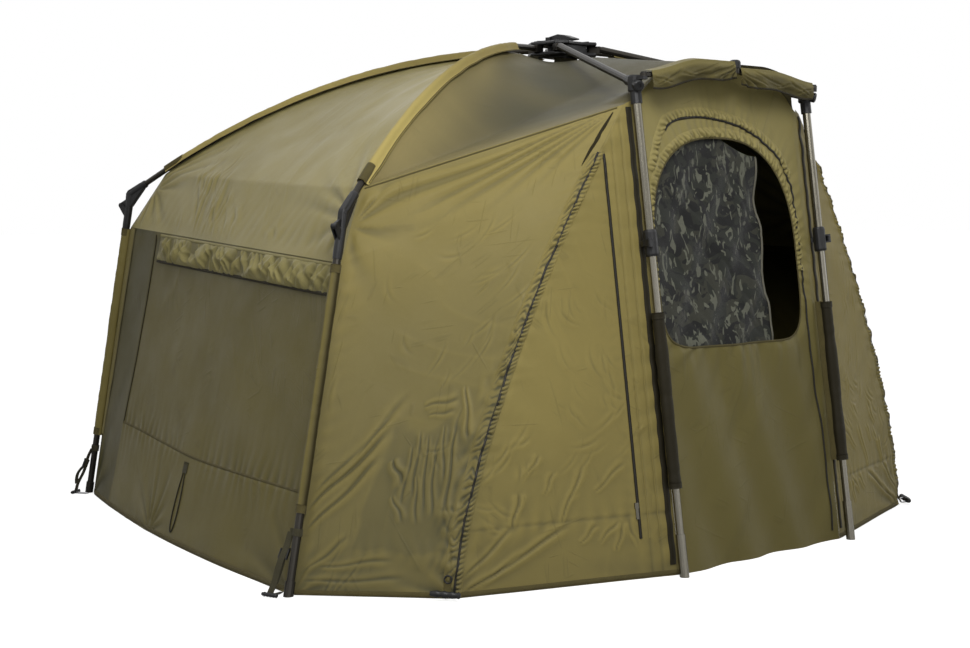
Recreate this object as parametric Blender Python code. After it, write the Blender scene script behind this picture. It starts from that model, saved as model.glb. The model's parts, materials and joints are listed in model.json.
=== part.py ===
# Bivvy tent with an outside folding frame. Metres, +Z up, front towards -Y.
# The layout below measures y back from the line of the front feet, and one empty
# carries the whole tent so that the middle of its footprint lies at the origin.

import math

import bmesh
import bpy
from mathutils import Matrix, Vector
from mathutils.geometry import convex_hull_2d

for old in list(bpy.data.objects):
    bpy.data.objects.remove(old, do_unlink=True)

# Footprint and heights
front_half_width = 0.400
front_leg_setback = 0.190
hub_setback = 0.860
hub_height = 1.540
side_foot_half_width = 1.340
side_foot_setback = 0.580
rear_foot_half_width = 0.811
rear_foot_setback = 2.467
brim_centre_setback = 0.150
brim_centre_height = 1.440
brim_rise = 0.062
corner_height = brim_centre_height - brim_rise
footprint_middle_setback = 1.2429

# Gaps
seat_gap = 0.0003
running_gap = 0.0004
seam_gap = 0.0006
cut_overrun = 0.004

# Tubes
rib_radius = 0.0095
arm_radius = 0.0110
leg_radius = 0.0110
front_tube_radius = 0.0125
front_tube_wall = 0.0015
brim_radius = 0.0080
socket_wall = 0.0040

# Hub block
hub_half_width = 0.098
hub_half_depth = 0.095
hub_plate_thickness = 0.0110
hub_edge_bevel = 0.0030
hub_core_half_width = 0.046
hub_core_back = 0.040
hub_core_front = 0.068
eye_radius = 0.0130
eye_thickness = 0.0222
eye_length = 0.0340
pin_radius = 0.0040
pin_head_radius = 0.0085
pin_head_height = 0.0030
rear_pin_half_spacing = 0.030
rear_pin_back = 0.072
side_pin_half_spacing = 0.080
side_pin_back = 0.022
arm_pin_half_spacing = 0.080
arm_pin_forward = 0.054
hub_rib_height = 0.0050
hub_rib_width = 0.0060
lever_length = 0.105
lever_width = 0.034
lever_thickness = 0.009
lever_rise = 0.020
lever_axle_radius = 0.0050
lever_axle_back = 0.040
lever_ear_thickness = 0.006

# Ribs: level out of the hub, then an even bow, then a straight stub into the knuckle
rib_level_length = 0.085
rear_bow_reach = 1.460
rear_bow_drop = 0.416
side_bow_reach = 0.985
side_bow_drop = 0.465
rib_steps = 13
stub_length = 0.080
stub_socket_length = 0.074

# Knuckles
part_line_drop = 0.045
lug_offset = 0.030
lug_radius = 0.0085
blade_thickness = 0.0080
cheek_thickness = 0.0045
knuckle_thickness = 0.0200
web_reach = 0.060
lower_socket_length = 0.085
knuckle_bevel = 0.0025

# Front arms, corner joints and brim
arm_straight = 0.040
corner_socket_length = 0.055
corner_boss_radius = 0.0155
corner_boss_length = 0.0160
corner_body_radius = 0.0200
corner_body_height = 0.0480
brim_pin_forward = 0.0335
brim_eye_radius = 0.0110
brim_eye_thickness = 0.0090
brim_level_share = 0.62
brim_steps = 12
brim_lap_half_gap = 0.0003
brim_knuckle_radius = 0.0170
brim_knuckle_height = 0.0240

# Front legs
front_upper_length = 0.470
front_overlap = 0.085
collar_length = 0.075
collar_radius = 0.0195
cam_lever_length = 0.062
cam_lever_width = 0.016
cam_lever_thickness = 0.007
cam_axle_radius = 0.0035
cam_ear_reach = 0.0300
foot_cap_length = 0.120
foot_cap_wall = 0.0030
leg_foot_length = 0.040
leg_foot_wall = 0.0030

# Cloth
cloth_thickness = 0.0025
cloth_middle_setback = 1.150
cloth_middle_height = 0.450
roof_below_rib = 0.0135
roof_dip_at_hub = 0.0300
roof_dip_reach = 0.260
rear_sleeve_end = 1.385
side_sleeve_end = 0.960
leg_cloth_inset = 0.0200
rear_wall_top_share = 0.6266
side_wall_top_share = 0.5714
rear_wall_top = hub_height * rear_wall_top_share
side_wall_top = hub_height * side_wall_top_share
wall_hem_bow = 0.060
rear_hem_bow = 0.050
roof_sag = 0.028
ridge_foot_half_width = 1.043
ridge_foot_setback = 0.250
ridge_below_corner = 0.058
ridge_top_height = corner_height - ridge_below_corner
ridge_top_half_width = 0.414
ridge_top_setback = 0.222
ridge_curve_power = 1.5
front_cloth_inset = 0.016
front_cloth_back = 0.030
door_below_corner = 0.043
door_top_height = corner_height - door_below_corner
door_below_roof = 0.008
peak_below_hub = 0.032
peak_height = hub_height - peak_below_hub
peak_setback = 0.700
peak_flat_setback = 0.810
brim_cloth_lift = 0.014
brim_cloth_back = 0.020
brim_corner_clearance = 0.015
brim_corner_reach = 0.100
valance_drop = 0.062
valance_forward = 0.014
valance_gap = 0.026
valance_fold = 0.008
valance_start_share = 0.075
valance_slack = 0.0016

# Door window
window_half_width = 0.330
window_rise_share = 0.2431
window_fall_share = 0.1996
window_middle_share = 0.6531
window_rise = corner_height * window_rise_share
window_fall = corner_height * window_fall_share
window_middle_height = corner_height * window_middle_share
window_middle_x = -0.022
arch_power_share = 2.5
sill_power_share = 7.0
door_fold_depth = 0.009
door_fold_pitch = 0.240
camo_half_right = 0.135
camo_bottom_share = 0.4325
camo_bottom_height = corner_height * camo_bottom_share
camo_setback = 0.0070
camo_fold_depth = 0.016
camo_fold_pitch = 0.170

# Side windows with rolled covers
roll_start_share = 0.185
roll_end_share = 0.985
roll_height = 0.084
roll_depth = 0.026

# Webbing, buckles and pegs
webbing_width = 0.020
webbing_thickness = 0.0024
strap_top_height = 0.165
strap_foot_out = 0.034
strap_foot_beside = 0.036
buckle_share = 0.36
buckle_height = 0.026
buckle_width = 0.028
buckle_depth = 0.007
peg_length = 0.055
peg_radius = 0.0035
peg_head_length = 0.050
peg_head_radius = 0.0065
tie_strap_width = 0.026
tab_width = 0.036
tab_height = 0.034
tab_thickness = 0.004
tab_share = 0.545
tab_bottom_height = 0.212

# Zip sliders
zip_half_width_place = 0.500
slider_width = 0.012
slider_height = 0.016
slider_thickness = 0.005
puller_length = 0.038
puller_width = 0.009
puller_thickness = 0.0022
slider_rest_height = 0.200
slider_stand_off = 0.0004
zip_rise_off_cloth = 0.0018

# Elastic loop on the window tab: the route's points, sideways along the wall and down
loop_radius = 0.0020
loop_steps = 38
loop_route = [
    (0.0080, 0.000), (0.0085, 0.012), (0.0130, 0.035), (0.0180, 0.070),
    (0.0200, 0.110), (0.0170, 0.150), (0.0080, 0.176), (-0.0040, 0.180),
    (-0.0140, 0.162), (-0.0190, 0.125), (-0.0180, 0.080), (-0.0140, 0.040),
    (-0.0090, 0.013), (-0.0080, 0.000),
]


# Materials
def finish(name, colour, roughness, metallic=0.0):
    made = bpy.data.materials.new(name)
    made.use_nodes = True
    shader = made.node_tree.nodes["Principled BSDF"]
    shader.inputs["Base Color"].default_value = (*colour, 1.0)
    shader.inputs["Roughness"].default_value = roughness
    shader.inputs["Metallic"].default_value = metallic
    return made


nylon = finish("olive_nylon", (0.20, 0.17, 0.065), 0.62)
camo = finish("camouflage_cloth", (0.13, 0.13, 0.09), 0.80)
gunmetal = finish("gunmetal_tube", (0.12, 0.11, 0.10), 0.35, 0.85)
bright_tube = finish("bare_tube", (0.46, 0.43, 0.38), 0.28, 0.95)
moulding = finish("black_moulding", (0.018, 0.018, 0.020), 0.50)
steel = finish("pin_steel", (0.35, 0.35, 0.36), 0.30, 1.0)
webbing = finish("dark_webbing", (0.055, 0.050, 0.030), 0.80)
elastic = finish("dark_elastic", (0.030, 0.030, 0.025), 0.70)


# Placing
def empty(name, place, parent=None, turn=0.0):
    made = bpy.data.objects.new(name, None)
    bpy.context.collection.objects.link(made)
    made.location = place
    made.rotation_euler = (0.0, 0.0, turn)
    made.parent = parent
    return made


tent = empty("tent", (0.0, -footprint_middle_setback, 0.0))


def place_mesh(name, bm, material, parent, sharp=35.0):
    mesh = bpy.data.meshes.new(name)
    bmesh.ops.recalc_face_normals(bm, faces=bm.faces)
    bm.to_mesh(mesh)
    bm.free()
    made = bpy.data.objects.new(name, mesh)
    bpy.context.collection.objects.link(made)
    made.parent = parent
    mesh.materials.append(material)
    mesh.shade_smooth()
    mesh.set_sharp_from_angle(angle=math.radians(sharp))
    return made


def make_tool(made):
    made.hide_render = True
    made.display_type = "WIRE"


def combine(target, tool, operation):
    make_tool(tool)
    step = target.modifiers.new(operation.lower(), "BOOLEAN")
    step.operation = operation
    step.object = tool
    step.solver = "EXACT"


def axis_matrix(start, direction):
    turn = Vector((0.0, 0.0, 1.0)).rotation_difference(Vector(direction).normalized())
    return Matrix.Translation(start) @ turn.to_matrix().to_4x4()


# Basic solids, all added to a bmesh
def add_turned(bm, start, direction, profile, sides):
    # profile holds (distance along the axis, radius) from one end to the other
    frame = axis_matrix(start, direction)
    rings = []
    for along, radius in profile:
        ring = []
        for k in range(sides):
            turn = 2.0 * math.pi * k / sides
            spot = Vector((radius * math.cos(turn), radius * math.sin(turn), along))
            ring.append(bm.verts.new(frame @ spot))
        rings.append(ring)
    for low, high in zip(rings, rings[1:]):
        for k in range(sides):
            n = (k + 1) % sides
            bm.faces.new((low[k], low[n], high[n], high[k]))
    bm.faces.new(rings[0])
    bm.faces.new(rings[-1])


def add_prism(bm, outline, thickness, frame):
    # outline lies in the frame's xy plane, and the solid is centred on it
    half = thickness / 2.0
    low = [bm.verts.new(frame @ Vector((x, y, -half))) for x, y in outline]
    high = [bm.verts.new(frame @ Vector((x, y, half))) for x, y in outline]
    count = len(outline)
    for k in range(count):
        n = (k + 1) % count
        bm.faces.new((low[k], low[n], high[n], high[k]))
    bm.faces.new(low)
    bm.faces.new(high)


def prism(name, outline, thickness, frame, bevel, material, parent):
    bm = bmesh.new()
    add_prism(bm, outline, thickness, frame)
    made = place_mesh(name, bm, material, parent)
    if bevel:
        step = made.modifiers.new("bevel", "BEVEL")
        step.width = bevel
        step.segments = 1
        step.limit_method = "ANGLE"
    return made


def box_outline(half_x, half_y):
    return [(-half_x, -half_y), (half_x, -half_y), (half_x, half_y), (-half_x, half_y)]


def stadium(length, radius, steps=8):
    # from a round end about the origin to a square end at +x
    arc = []
    for k in range(steps + 1):
        turn = math.pi / 2.0 + math.pi * k / steps
        arc.append((radius * math.cos(turn), radius * math.sin(turn)))
    return arc + [(length, -radius), (length, radius)]


def swept_tube(name, points, radius, sides, material, parent):
    # a round tube through points that lie in one upright plane of its parent
    curve = bpy.data.curves.new(name, "CURVE")
    curve.dimensions = "3D"
    curve.bevel_depth = radius
    curve.bevel_resolution = sides // 2 - 2
    curve.use_fill_caps = True
    spline = curve.splines.new("POLY")
    spline.points.add(len(points) - 1)
    for spot, point in zip(points, spline.points):
        point.co = (*spot, 1.0)
    curve.materials.append(material)
    made = bpy.data.objects.new(name, curve)
    bpy.context.collection.objects.link(made)
    made.parent = parent
    return made


FLAT = Matrix.Identity(4)
# turns an outline's xy plane into the upright xz plane of a rib
UPRIGHT = Matrix.Rotation(math.pi / 2.0, 4, "X")


# Where things stand, in the tent's layout
def apex_cloth_height():
    return hub_height - roof_below_rib - roof_dip_at_hub


def rib_layout(kind, side):
    if kind == "rear":
        pin = Vector((side * rear_pin_half_spacing, hub_setback + rear_pin_back, hub_height))
        foot = Vector((side * rear_foot_half_width, rear_foot_setback, 0.0))
        reach, drop = rear_bow_reach, rear_bow_drop
    else:
        pin = Vector((side * side_pin_half_spacing, hub_setback + side_pin_back, hub_height))
        foot = Vector((side * side_foot_half_width, side_foot_setback, 0.0))
        reach, drop = side_bow_reach, side_bow_drop
    out = Vector((foot.x - pin.x, foot.y - pin.y, 0.0))
    return {
        "pin": pin, "foot": foot, "reach": reach, "drop": drop,
        "out": out.normalized(), "span": out.length,
    }


def rib_drop(rib, along):
    bowed = max(0.0, along - rib_level_length) / (rib["reach"] - rib_level_length)
    return -rib["drop"] * bowed ** 2


def rib_end_direction(rib):
    slope = -2.0 * rib["drop"] / (rib["reach"] - rib_level_length)
    return Vector((1.0, slope)).normalized()


def rib_corner(rib):
    # in the rib's upright plane, measured out and up from its pin
    return Vector((rib["reach"], rib_drop(rib, rib["reach"]))) + rib_end_direction(rib) * stub_length


def leg_direction(rib):
    return (Vector((rib["span"], -hub_height)) - rib_corner(rib)).normalized()


def plane_to_tent(rib, along, height):
    spot = rib["pin"] + rib["out"] * along
    return Vector((spot.x, spot.y, height))


def leg_reach_at(rib, height):
    # how far out the leg's axis is at a height above the ground
    corner = rib_corner(rib)
    share = (corner.y + hub_height - height) / (corner.y + hub_height)
    return corner.x + (rib["span"] - corner.x) * share


ribs = {(kind, side): rib_layout(kind, side) for kind in ("rear", "side") for side in (-1, 1)}
side_names = {-1: "left", 1: "right"}
arm_pins = {
    side: Vector((side * arm_pin_half_spacing, hub_setback - arm_pin_forward, hub_height))
    for side in (-1, 1)
}
corners = {
    side: Vector((side * front_half_width, front_leg_setback, corner_height)) for side in (-1, 1)
}


# Hub block: two plates round a core, with the eyes of ribs and arms between them
def hub_outline():
    w, d = hub_half_width, hub_half_depth
    cut = hub_half_width * 0.34
    waist = hub_half_width * 0.20
    return [
        (-w, -d + cut), (-w + cut, -d), (-waist, -d + waist), (waist, -d + waist),
        (w - cut, -d), (w, -d + cut), (w - waist * 0.4, 0.0), (w, d * 0.45),
        (w * 0.62, d), (waist, d - waist * 0.4), (-waist, d - waist * 0.4), (-w * 0.62, d),
        (-w, d * 0.45), (-w + waist * 0.4, 0.0),
    ]


def hub_core_outline():
    w = hub_core_half_width
    return [
        (-w, -hub_core_front), (w, -hub_core_front), (w, hub_core_back * 0.4),
        (w * 0.35, hub_core_back), (-w * 0.35, hub_core_back), (-w, hub_core_back * 0.4),
    ]


def pin_places():
    places = [ribs[key]["pin"] for key in ribs]
    return places + [arm_pins[side] for side in (-1, 1)]


def make_hub():
    centre = Vector((0.0, hub_setback, hub_height))
    slot_half = eye_thickness / 2.0 + running_gap
    plate_middle = slot_half + hub_plate_thickness / 2.0
    for name, sign in (("hub_upper_plate", 1), ("hub_lower_plate", -1)):
        frame = Matrix.Translation(centre + Vector((0.0, 0.0, sign * plate_middle)))
        plate = prism(name, hub_outline(), hub_plate_thickness, frame, hub_edge_bevel, moulding, tent)
        extra = bmesh.new()
        if sign > 0:
            # the core hangs from the upper plate and stops a seat gap above the lower one
            depth = 2.0 * slot_half - seat_gap + cut_overrun
            low = centre + Vector((0.0, 0.0, -slot_half + seat_gap + depth / 2.0))
            add_prism(extra, hub_core_outline(), depth, Matrix.Translation(low))
            top = centre + Vector((0.0, 0.0, slot_half + hub_plate_thickness))
            # stiffening ribs across the top, and the ears that hold the lever's axle
            for side in (-1, 1):
                ear = box_outline(lever_ear_thickness / 2.0, lever_axle_radius * 2.0)
                gap = lever_width / 2.0 + running_gap + lever_ear_thickness / 2.0
                height = lever_axle_radius * 4.0
                spot = top + Vector((side * gap, lever_axle_back, height / 2.0 - cut_overrun / 2.0))
                add_prism(extra, ear, height + cut_overrun, Matrix.Translation(spot))
                bar = box_outline(hub_rib_width / 2.0, hub_half_depth * 0.62)
                spot = top + Vector((side * hub_half_width * 0.66, 0.0, 0.0))
                add_prism(extra, bar, 2.0 * hub_rib_height, Matrix.Translation(spot))
        else:
            bottom = centre + Vector((0.0, 0.0, -slot_half - hub_plate_thickness))
            for side in (-1, 1):
                bar = box_outline(hub_rib_width / 2.0, hub_half_depth * 0.62)
                spot = bottom + Vector((side * hub_half_width * 0.45, 0.0, 0.0))
                add_prism(extra, bar, 2.0 * hub_rib_height, Matrix.Translation(spot))
        combine(plate, place_mesh(name + "_extra", extra, moulding, tent), "UNION")
        middle = sign * plate_middle
        if sign > 0:
            for count, pin in enumerate(pin_places()):
                start = pin + Vector((0.0, 0.0, middle - hub_plate_thickness))
                hole = bore("pin_hole_%d" % count, start, (0.0, 0.0, 1.0), 2.0 * hub_plate_thickness,
                            pin_radius + seat_gap, 12, tent)
                combine(plate, hole, "DIFFERENCE")
        else:
            fit_hub_pins(plate, middle, slot_half + hub_plate_thickness + seat_gap)
    make_lever(centre.z + slot_half + hub_plate_thickness)
    make_tie_strap(centre.z - slot_half - hub_plate_thickness)


def fit_hub_pins(plate, middle, outside):
    # the pins are pressed into the lower plate, and their heads lie on the upper one
    for count, pin in enumerate(pin_places()):
        start = pin + Vector((0.0, 0.0, middle))
        high = outside - middle
        profile = [
            (0.0, pin_radius), (high, pin_radius), (high, pin_head_radius),
            (high + pin_head_height, pin_head_radius),
        ]
        bm = bmesh.new()
        add_turned(bm, start, (0.0, 0.0, 1.0), profile, 12)
        combine(plate, place_mesh("hub_pin_%d" % count, bm, steel, tent), "UNION")


def make_lever(top):
    axle = Vector((0.0, hub_setback + lever_axle_back, top + lever_axle_radius * 2.4))
    pivot = empty("hub_lever_axis", axle, tent)
    r, t = lever_axle_radius * 1.5, lever_thickness
    outline = [
        (r, -r * 0.6), (r * 1.1, r * 0.5), (0.0, r * 1.3), (-lever_length * 0.35, lever_rise * 0.8),
        (-lever_length * 0.62, lever_rise * 0.55), (-lever_length, -r * 0.2),
        (-lever_length, -r * 0.2 - t * 0.4), (-lever_length * 0.6, -r * 0.9), (-r, -r * 1.15),
    ]
    # the outline's x runs back along the tent, its y runs up
    frame = Matrix.Rotation(math.pi / 2.0, 4, "Z") @ UPRIGHT
    lever = prism("hub_lever", outline, lever_width, frame, hub_edge_bevel / 2.0, moulding, pivot)
    grip = bmesh.new()
    for k in range(4):
        spot = Vector((0.0, -lever_length * (0.40 + 0.10 * k), lever_rise * (0.86 - 0.17 * k)))
        half = lever_width / 2.0 + cut_overrun
        groove = lever_thickness * 0.16
        add_turned(grip, spot - Vector((half, 0.0, 0.0)), (1.0, 0.0, 0.0),
                   [(0.0, groove), (2.0 * half, groove)], 8)
    combine(lever, place_mesh("hub_lever_grooves", grip, moulding, pivot), "DIFFERENCE")


def make_tie_strap(bottom):
    low = apex_cloth_height() + seat_gap
    high = bottom - hub_rib_height - seat_gap
    frame = Matrix.Translation((0.0, hub_setback - hub_half_depth * 0.2, (low + high) / 2.0))
    outline = box_outline(hub_half_width * 0.50, tie_strap_width / 2.0)
    prism("hub_tie_strap", outline, high - low, frame, 0.0, webbing, tent)


# Tools for shaping: a hull round some points, round bores and the eyes on the hub pins
def hull_outline(points):
    order = convex_hull_2d([Vector(spot) for spot in points])
    return [tuple(points[k]) for k in order]


def circle_points(centre, radius, steps=10):
    turns = [2.0 * math.pi * k / steps for k in range(steps)]
    return [Vector((centre.x + radius * math.cos(t), centre.y + radius * math.sin(t))) for t in turns]


def bore(name, start, direction, length, radius, sides, parent):
    bm = bmesh.new()
    add_turned(bm, start, direction, [(0.0, radius), (length, radius)], sides)
    return place_mesh(name, bm, moulding, parent)


def add_hub_eye(tube, name, parent, turn):
    frame = Matrix.Rotation(turn, 4, "Z")
    eye = prism(name + "_eye", stadium(eye_length, eye_radius), eye_thickness, frame, 0.0, gunmetal, parent)
    combine(tube, eye, "UNION")
    reach = eye_thickness / 2.0 + cut_overrun
    hole = pin_radius + seat_gap
    start = Vector((0.0, 0.0, -reach))
    combine(tube, bore(name + "_bore", start, (0.0, 0.0, 1.0), 2.0 * reach, hole, 12, parent), "DIFFERENCE")


def curve_to_mesh(made):
    # the same object as a mesh, so that modifiers can join it
    graph = bpy.context.evaluated_depsgraph_get()
    mesh = bpy.data.meshes.new_from_object(made.evaluated_get(graph))
    name, parent = made.name, made.parent
    bpy.data.objects.remove(made, do_unlink=True)
    solid = bpy.data.objects.new(name, mesh)
    bpy.context.collection.objects.link(solid)
    solid.parent = parent
    mesh.shade_smooth()
    mesh.set_sharp_from_angle(angle=math.radians(40.0))
    return solid


# Ribs with their knuckles and lower legs. Everything of a rib lies in one upright plane,
# so its parts are drawn with x out from the hub pin and y up.
def upright(spot):
    return Vector((spot.x, 0.0, spot.y))


def make_rib(kind, side):
    rib = ribs[(kind, side)]
    label = kind + "_" + side_names[side]
    axis = empty("rib_axis_" + label, rib["pin"], tent, math.atan2(rib["out"].y, rib["out"].x))
    start = eye_length * 0.7
    points = [Vector((start, 0.0))]
    for k in range(rib_steps + 1):
        along = rib_level_length + (rib["reach"] - rib_level_length) * k / rib_steps
        points.append(Vector((along, rib_drop(rib, along))))
    points.append(rib_corner(rib))
    tube = swept_tube("rib_" + label, [upright(p) for p in points], rib_radius, 10, gunmetal, axis)
    tube = curve_to_mesh(tube)
    add_hub_eye(tube, "rib_" + label, axis, 0.0)
    make_knuckle(rib, label, axis)
    make_rib_leg(rib, label, axis)


def knuckle_layout(rib):
    corner, leg = rib_corner(rib), leg_direction(rib)
    outward = Vector((-leg.y, leg.x))
    part_point = corner + leg * part_line_drop
    return corner, leg, outward, part_point, part_point + outward * lug_offset


def make_knuckle(rib, label, axis):
    corner, leg, outward, part_point, lug = knuckle_layout(rib)
    along = rib_end_direction(rib)
    above = Vector((-along.y, along.x))
    radius = rib_radius + socket_wall
    half = radius * 0.90
    ridge = half * 1.25
    web = [
        corner - along * web_reach + above * half, corner + above * ridge,
        corner + outward * ridge, part_point - leg * seat_gap + outward * half,
        part_point - leg * seat_gap - outward * half, corner - along * web_reach - above * half,
    ]
    web = [tuple(spot) for spot in reversed(web)]
    name = "knuckle_" + label
    elbow = prism(name, web, knuckle_thickness, UPRIGHT, knuckle_bevel, moulding, axis)
    sockets = bmesh.new()
    start = corner - along * stub_socket_length
    profile = [(0.0, radius * 0.88), (radius * 0.3, radius), (stub_socket_length + radius * 0.5, radius)]
    add_turned(sockets, upright(start), upright(along), profile, 14)
    combine(elbow, place_mesh(name + "_rib_socket", sockets, moulding, axis), "UNION")
    spigot = part_line_drop + radius * 0.5
    start = upright(part_point)
    shell = bore(name + "_leg_socket", start, upright(-leg), spigot, radius * 1.02, 14, axis)
    combine(elbow, shell, "UNION")
    roots = [part_point - leg * (lug_radius * 1.25), part_point - leg * (part_line_drop * 0.8)]
    blade = hull_outline(circle_points(lug, lug_radius) + roots)
    combine(elbow, prism(name + "_blade", blade, blade_thickness, UPRIGHT, 0.0, moulding, axis), "UNION")
    tube_hole = rib_radius + seat_gap
    reach = stub_length + cut_overrun
    start = upright(corner - along * reach)
    hole = bore(name + "_tube_bore", start, upright(along), reach + seat_gap, tube_hole, 16, axis)
    combine(elbow, hole, "DIFFERENCE")
    start = upright(lug) - Vector((0.0, blade_thickness, 0.0))
    reach = 2.0 * blade_thickness
    hole = bore(name + "_pin_bore", start, (0.0, 1.0, 0.0), reach, pin_radius + running_gap, 12, axis)
    combine(elbow, hole, "DIFFERENCE")


def make_rib_leg(rib, label, axis):
    corner, leg, outward, part_point, lug = knuckle_layout(rib)
    radius = leg_radius + socket_wall * 0.7
    pivot = empty("leg_axis_" + label, upright(lug), axis)
    top = part_point + leg * seat_gap - lug
    name = "leg_socket_" + label
    bm = bmesh.new()
    profile = [
        (0.0, radius), (lower_socket_length * 0.75, radius),
        (lower_socket_length, radius * 0.92),
    ]
    add_turned(bm, upright(top), upright(leg), profile, 16)
    socket = place_mesh(name, bm, moulding, pivot)
    # two cheeks beside the knuckle's blade, with the pin that joins them
    centre = Vector((0.0, 0.0))
    roots = [top + leg * (lug_radius * 1.25), top + leg * (lower_socket_length * 0.55)]
    cheek = hull_outline(circle_points(centre, lug_radius) + roots)
    gap = blade_thickness / 2.0 + running_gap + cheek_thickness / 2.0
    cheeks = bmesh.new()
    for sign in (-1, 1):
        add_prism(cheeks, cheek, cheek_thickness, Matrix.Translation((0.0, sign * gap, 0.0)) @ UPRIGHT)
    combine(socket, place_mesh(name + "_cheeks", cheeks, moulding, pivot), "UNION")
    half = gap + cheek_thickness / 2.0 + pin_head_height * 0.5
    pin = bore(name + "_pin", Vector((0.0, -half, 0.0)), (0.0, 1.0, 0.0), 2.0 * half, pin_radius, 10, pivot)
    combine(socket, pin, "UNION")
    # room for the blade, cut from the socket's outer side, and the bore for the tube
    hole_start = upright(top + leg * (radius * 0.8))
    reach = lower_socket_length + cut_overrun
    tube_hole = bore(name + "_tube_bore", hole_start, upright(leg), reach, leg_radius + seat_gap, 16, pivot)
    combine(socket, tube_hole, "DIFFERENCE")
    first = top + leg * (radius * 0.8 + seat_gap)
    ground = -hub_height - lug.y
    length = (ground - first.y) / leg.y
    cap_radius = leg_radius + leg_foot_wall
    profile = [
        (0.0, leg_radius), (length - leg_foot_length, leg_radius),
        (length - leg_foot_length, cap_radius), (length, cap_radius),
    ]
    bm = bmesh.new()
    add_turned(bm, upright(first), upright(leg), profile, 12)
    flatten_foot(bm, upright(leg), ground)
    place_mesh("leg_" + label, bm, gunmetal, pivot)


def flatten_foot(bm, direction, ground):
    # the foot's last ring slides along the leg until it lies on the ground
    bm.verts.ensure_lookup_table()
    lowest = min(bm.verts, key=lambda v: v.co.z)
    faces = [f for f in lowest.link_faces if len(f.verts) > 4]
    for vert in faces[0].verts:
        vert.co += direction * ((ground - vert.co.z) / direction.z)


# Front arms with the corner joints, the brim's bars and the front legs
front_leg = Vector((0.0, -front_leg_setback, -corner_height)).normalized()


def make_arm(side):
    label = side_names[side]
    pin, corner = arm_pins[side], corners[side]
    axis = empty("arm_axis_" + label, pin, tent)
    flat = Vector((corner.x - pin.x, corner.y - pin.y, 0.0))
    out = flat.normalized()
    level = out * arm_straight
    end = corner - pin
    slope = (end - level).normalized()
    start = out * (eye_length * 0.7)
    joint = end - slope * (corner_body_radius * 0.5)
    points = [start, level, level + slope * ((end - level).length / 2.0), joint]
    tube = curve_to_mesh(swept_tube("front_arm_" + label, points, arm_radius, 10, gunmetal, axis))
    add_hub_eye(tube, "front_arm_" + label, axis, math.atan2(out.y, out.x))
    make_corner_joint(label, axis, end, slope)
    make_brim(side, axis, end)
    make_front_leg(side, axis, end)


def make_corner_joint(label, axis, end, slope):
    name = "corner_joint_" + label
    bm = bmesh.new()
    half = corner_body_height / 2.0
    r = corner_body_radius
    profile = [(0.0, r * 0.85), (half * 0.2, r), (half * 1.8, r), (2.0 * half, r * 0.85)]
    add_turned(bm, end - Vector((0.0, 0.0, half)), (0.0, 0.0, 1.0), profile, 14)
    joint = place_mesh(name, bm, moulding, axis)
    arm_shell = arm_radius + socket_wall
    start = end - slope * corner_socket_length
    combine(joint, bore(name + "_socket", start, slope, corner_socket_length, arm_shell, 12, axis), "UNION")
    boss = bmesh.new()
    reach = r + corner_boss_length
    profile = [
        (0.0, corner_boss_radius), (reach * 0.94, corner_boss_radius),
        (reach, corner_boss_radius * 0.8), (reach, corner_boss_radius * 0.45),
        (reach - corner_boss_length * 0.25, corner_boss_radius * 0.40),
    ]
    add_turned(boss, end, slope, profile, 12)
    combine(joint, place_mesh(name + "_boss", boss, moulding, axis), "UNION")
    leg_shell = front_tube_radius + socket_wall
    drop = half + corner_socket_length * 0.6
    combine(joint, bore(name + "_leg_socket", end, front_leg, drop, leg_shell, 12, axis), "UNION")
    # a lug ahead of the body, with the upright stud that the brim bar turns on
    stud = brim_stud(end)
    lug = hull_outline(circle_points(stud.xy, brim_eye_radius) + circle_points(end.xy, r * 0.6, 8))
    low = stud.z - brim_eye_thickness / 2.0 - seat_gap
    thick = brim_eye_thickness
    frame = Matrix.Translation((0.0, 0.0, low - thick / 2.0))
    combine(joint, prism(name + "_lug", lug, thick, frame, 0.0, moulding, axis), "UNION")
    post = bmesh.new()
    over = brim_eye_thickness + 2.0 * seat_gap
    profile = [
        (-cut_overrun, pin_radius), (over, pin_radius), (over, pin_head_radius),
        (over + pin_head_height, pin_head_radius),
    ]
    add_turned(post, Vector((stud.x, stud.y, low)), (0.0, 0.0, 1.0), profile, 12)
    combine(joint, place_mesh(name + "_stud", post, moulding, axis), "UNION")
    reach = corner_socket_length + cut_overrun
    start = end - slope * reach
    stop = reach - corner_body_radius * 0.5 + seat_gap
    hole = bore(name + "_arm_bore", start, slope, stop, arm_radius + seat_gap, 16, axis)
    combine(joint, hole, "DIFFERENCE")
    start = end + front_leg * (corner_body_radius - seat_gap)
    hole = front_tube_radius + seat_gap
    combine(joint, bore(name + "_leg_bore", start, front_leg, drop, hole, 16, axis), "DIFFERENCE")


def brim_stud(end):
    return end + Vector((0.0, -brim_pin_forward, corner_body_height * 0.5))


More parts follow.
